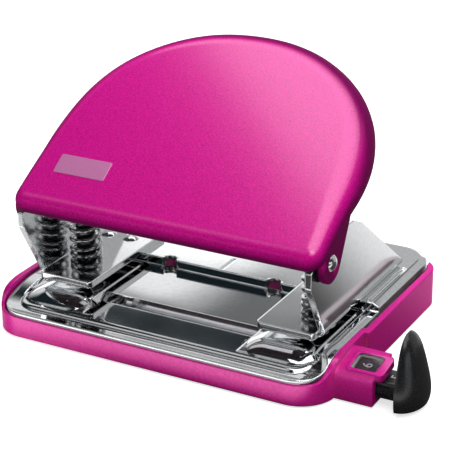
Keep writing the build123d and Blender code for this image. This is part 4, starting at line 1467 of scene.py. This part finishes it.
# %% Key light
EDGE_FAR = Vector((-0.153, 0.056, 0.342))
EDGE_NEAR = Vector((-0.083, -0.002, 0.329))
BOX_SIDE = Vector((0.65, 0.75, 0.1))
KEY_WIDTH = 0.34
KEY_LENGTH = 0.6
KEY_SHIFT = 0.05
KEY_RADIANCE = 2.08


def soft_box(name, centre, long_axis, back, length, width, radiance):
    """Rectangular area lamp along an axis; it shines away from its back."""
    lamp = bpy.data.lights.new(name, "AREA")
    lamp.shape = "RECTANGLE"
    lamp.size = length
    lamp.size_y = width
    lamp.energy = radiance * pi * length * width
    item = link_object(name, lamp)
    turn = Matrix((long_axis, back.cross(long_axis), back)).transposed().to_4x4()
    item.matrix_world = Matrix.Translation(centre) @ turn
    return item


edge = (EDGE_NEAR - EDGE_FAR).normalized()
reach = (BOX_SIDE - BOX_SIDE.dot(edge) * edge).normalized()
key_centre = (EDGE_FAR + EDGE_NEAR) / 2 + reach * KEY_WIDTH / 2 + edge * KEY_SHIFT
key = soft_box("key", key_centre, edge, edge.cross(reach), KEY_LENGTH, KEY_WIDTH, KEY_RADIANCE)
print(key.name, "at", [round(v, 3) for v in key_centre])

# %% [markdown]
# ## Floor finish
#
# Seen directly, the table is one even white.  What the chrome and the cover mirror
# of it is not: a product table has dark cards laid out beside the object, and
# without them chrome turns milky.  So the sheet asks which ray looks at it.  For all
# but the camera it is a dark card, with a lit white part behind the punch and to its
# left, and a bright band in front that draws a line along the front flange.

# %% Floor finish
TABLE_WHITE = (0.86, 0.86, 0.86)
CARD_BLACK = (0.04, 0.04, 0.04)
TABLE_ROUGHNESS = 0.6
TABLE_GLOW = 0.7
REAR_START = (-0.045, 0.018)
REAR_GLOW = 0.25
BAND_BACK = (-0.033, -0.042)
BAND_FRONT = (-0.080, -0.055)
MIRRORED_WHITE = 0.8
floor_white, tree, shader, place = start_material("floor_white", TABLE_WHITE)
seen = add_node(tree, "ShaderNodeLightPath").outputs["Is Camera Ray"]
unseen = calc(tree, "SUBTRACT", 1.0, seen)
floor_axes = add_node(tree, "ShaderNodeSeparateXYZ")
join(tree, place, floor_axes.inputs[0])
floor_x, floor_y = floor_axes.outputs["X"], floor_axes.outputs["Y"]
rear_part = fade(tree, calc(tree, "SUBTRACT", floor_y, floor_x), *REAR_START)
front_band = times(tree, fade(tree, floor_y, *BAND_BACK), fade(tree, floor_y, *BAND_FRONT))
white_part = times(tree, calc(tree, "MAXIMUM", rear_part, front_band), MIRRORED_WHITE)
floor_color = blend(tree, calc(tree, "MAXIMUM", seen, white_part), CARD_BLACK, TABLE_WHITE)
mirrored_glow = calc(tree, "MULTIPLY_ADD", rear_part, REAR_GLOW, front_band)
glow = calc(tree, "MULTIPLY_ADD", unseen, mirrored_glow, times(tree, seen, TABLE_GLOW))
feed(
    tree,
    shader,
    Base_Color=floor_color,
    Roughness=TABLE_ROUGHNESS,
    Emission_Color=(1, 1, 1, 1),
    Emission_Strength=glow,
)
floor.data.materials.append(floor_white)
print("finish:", floor_white.name)
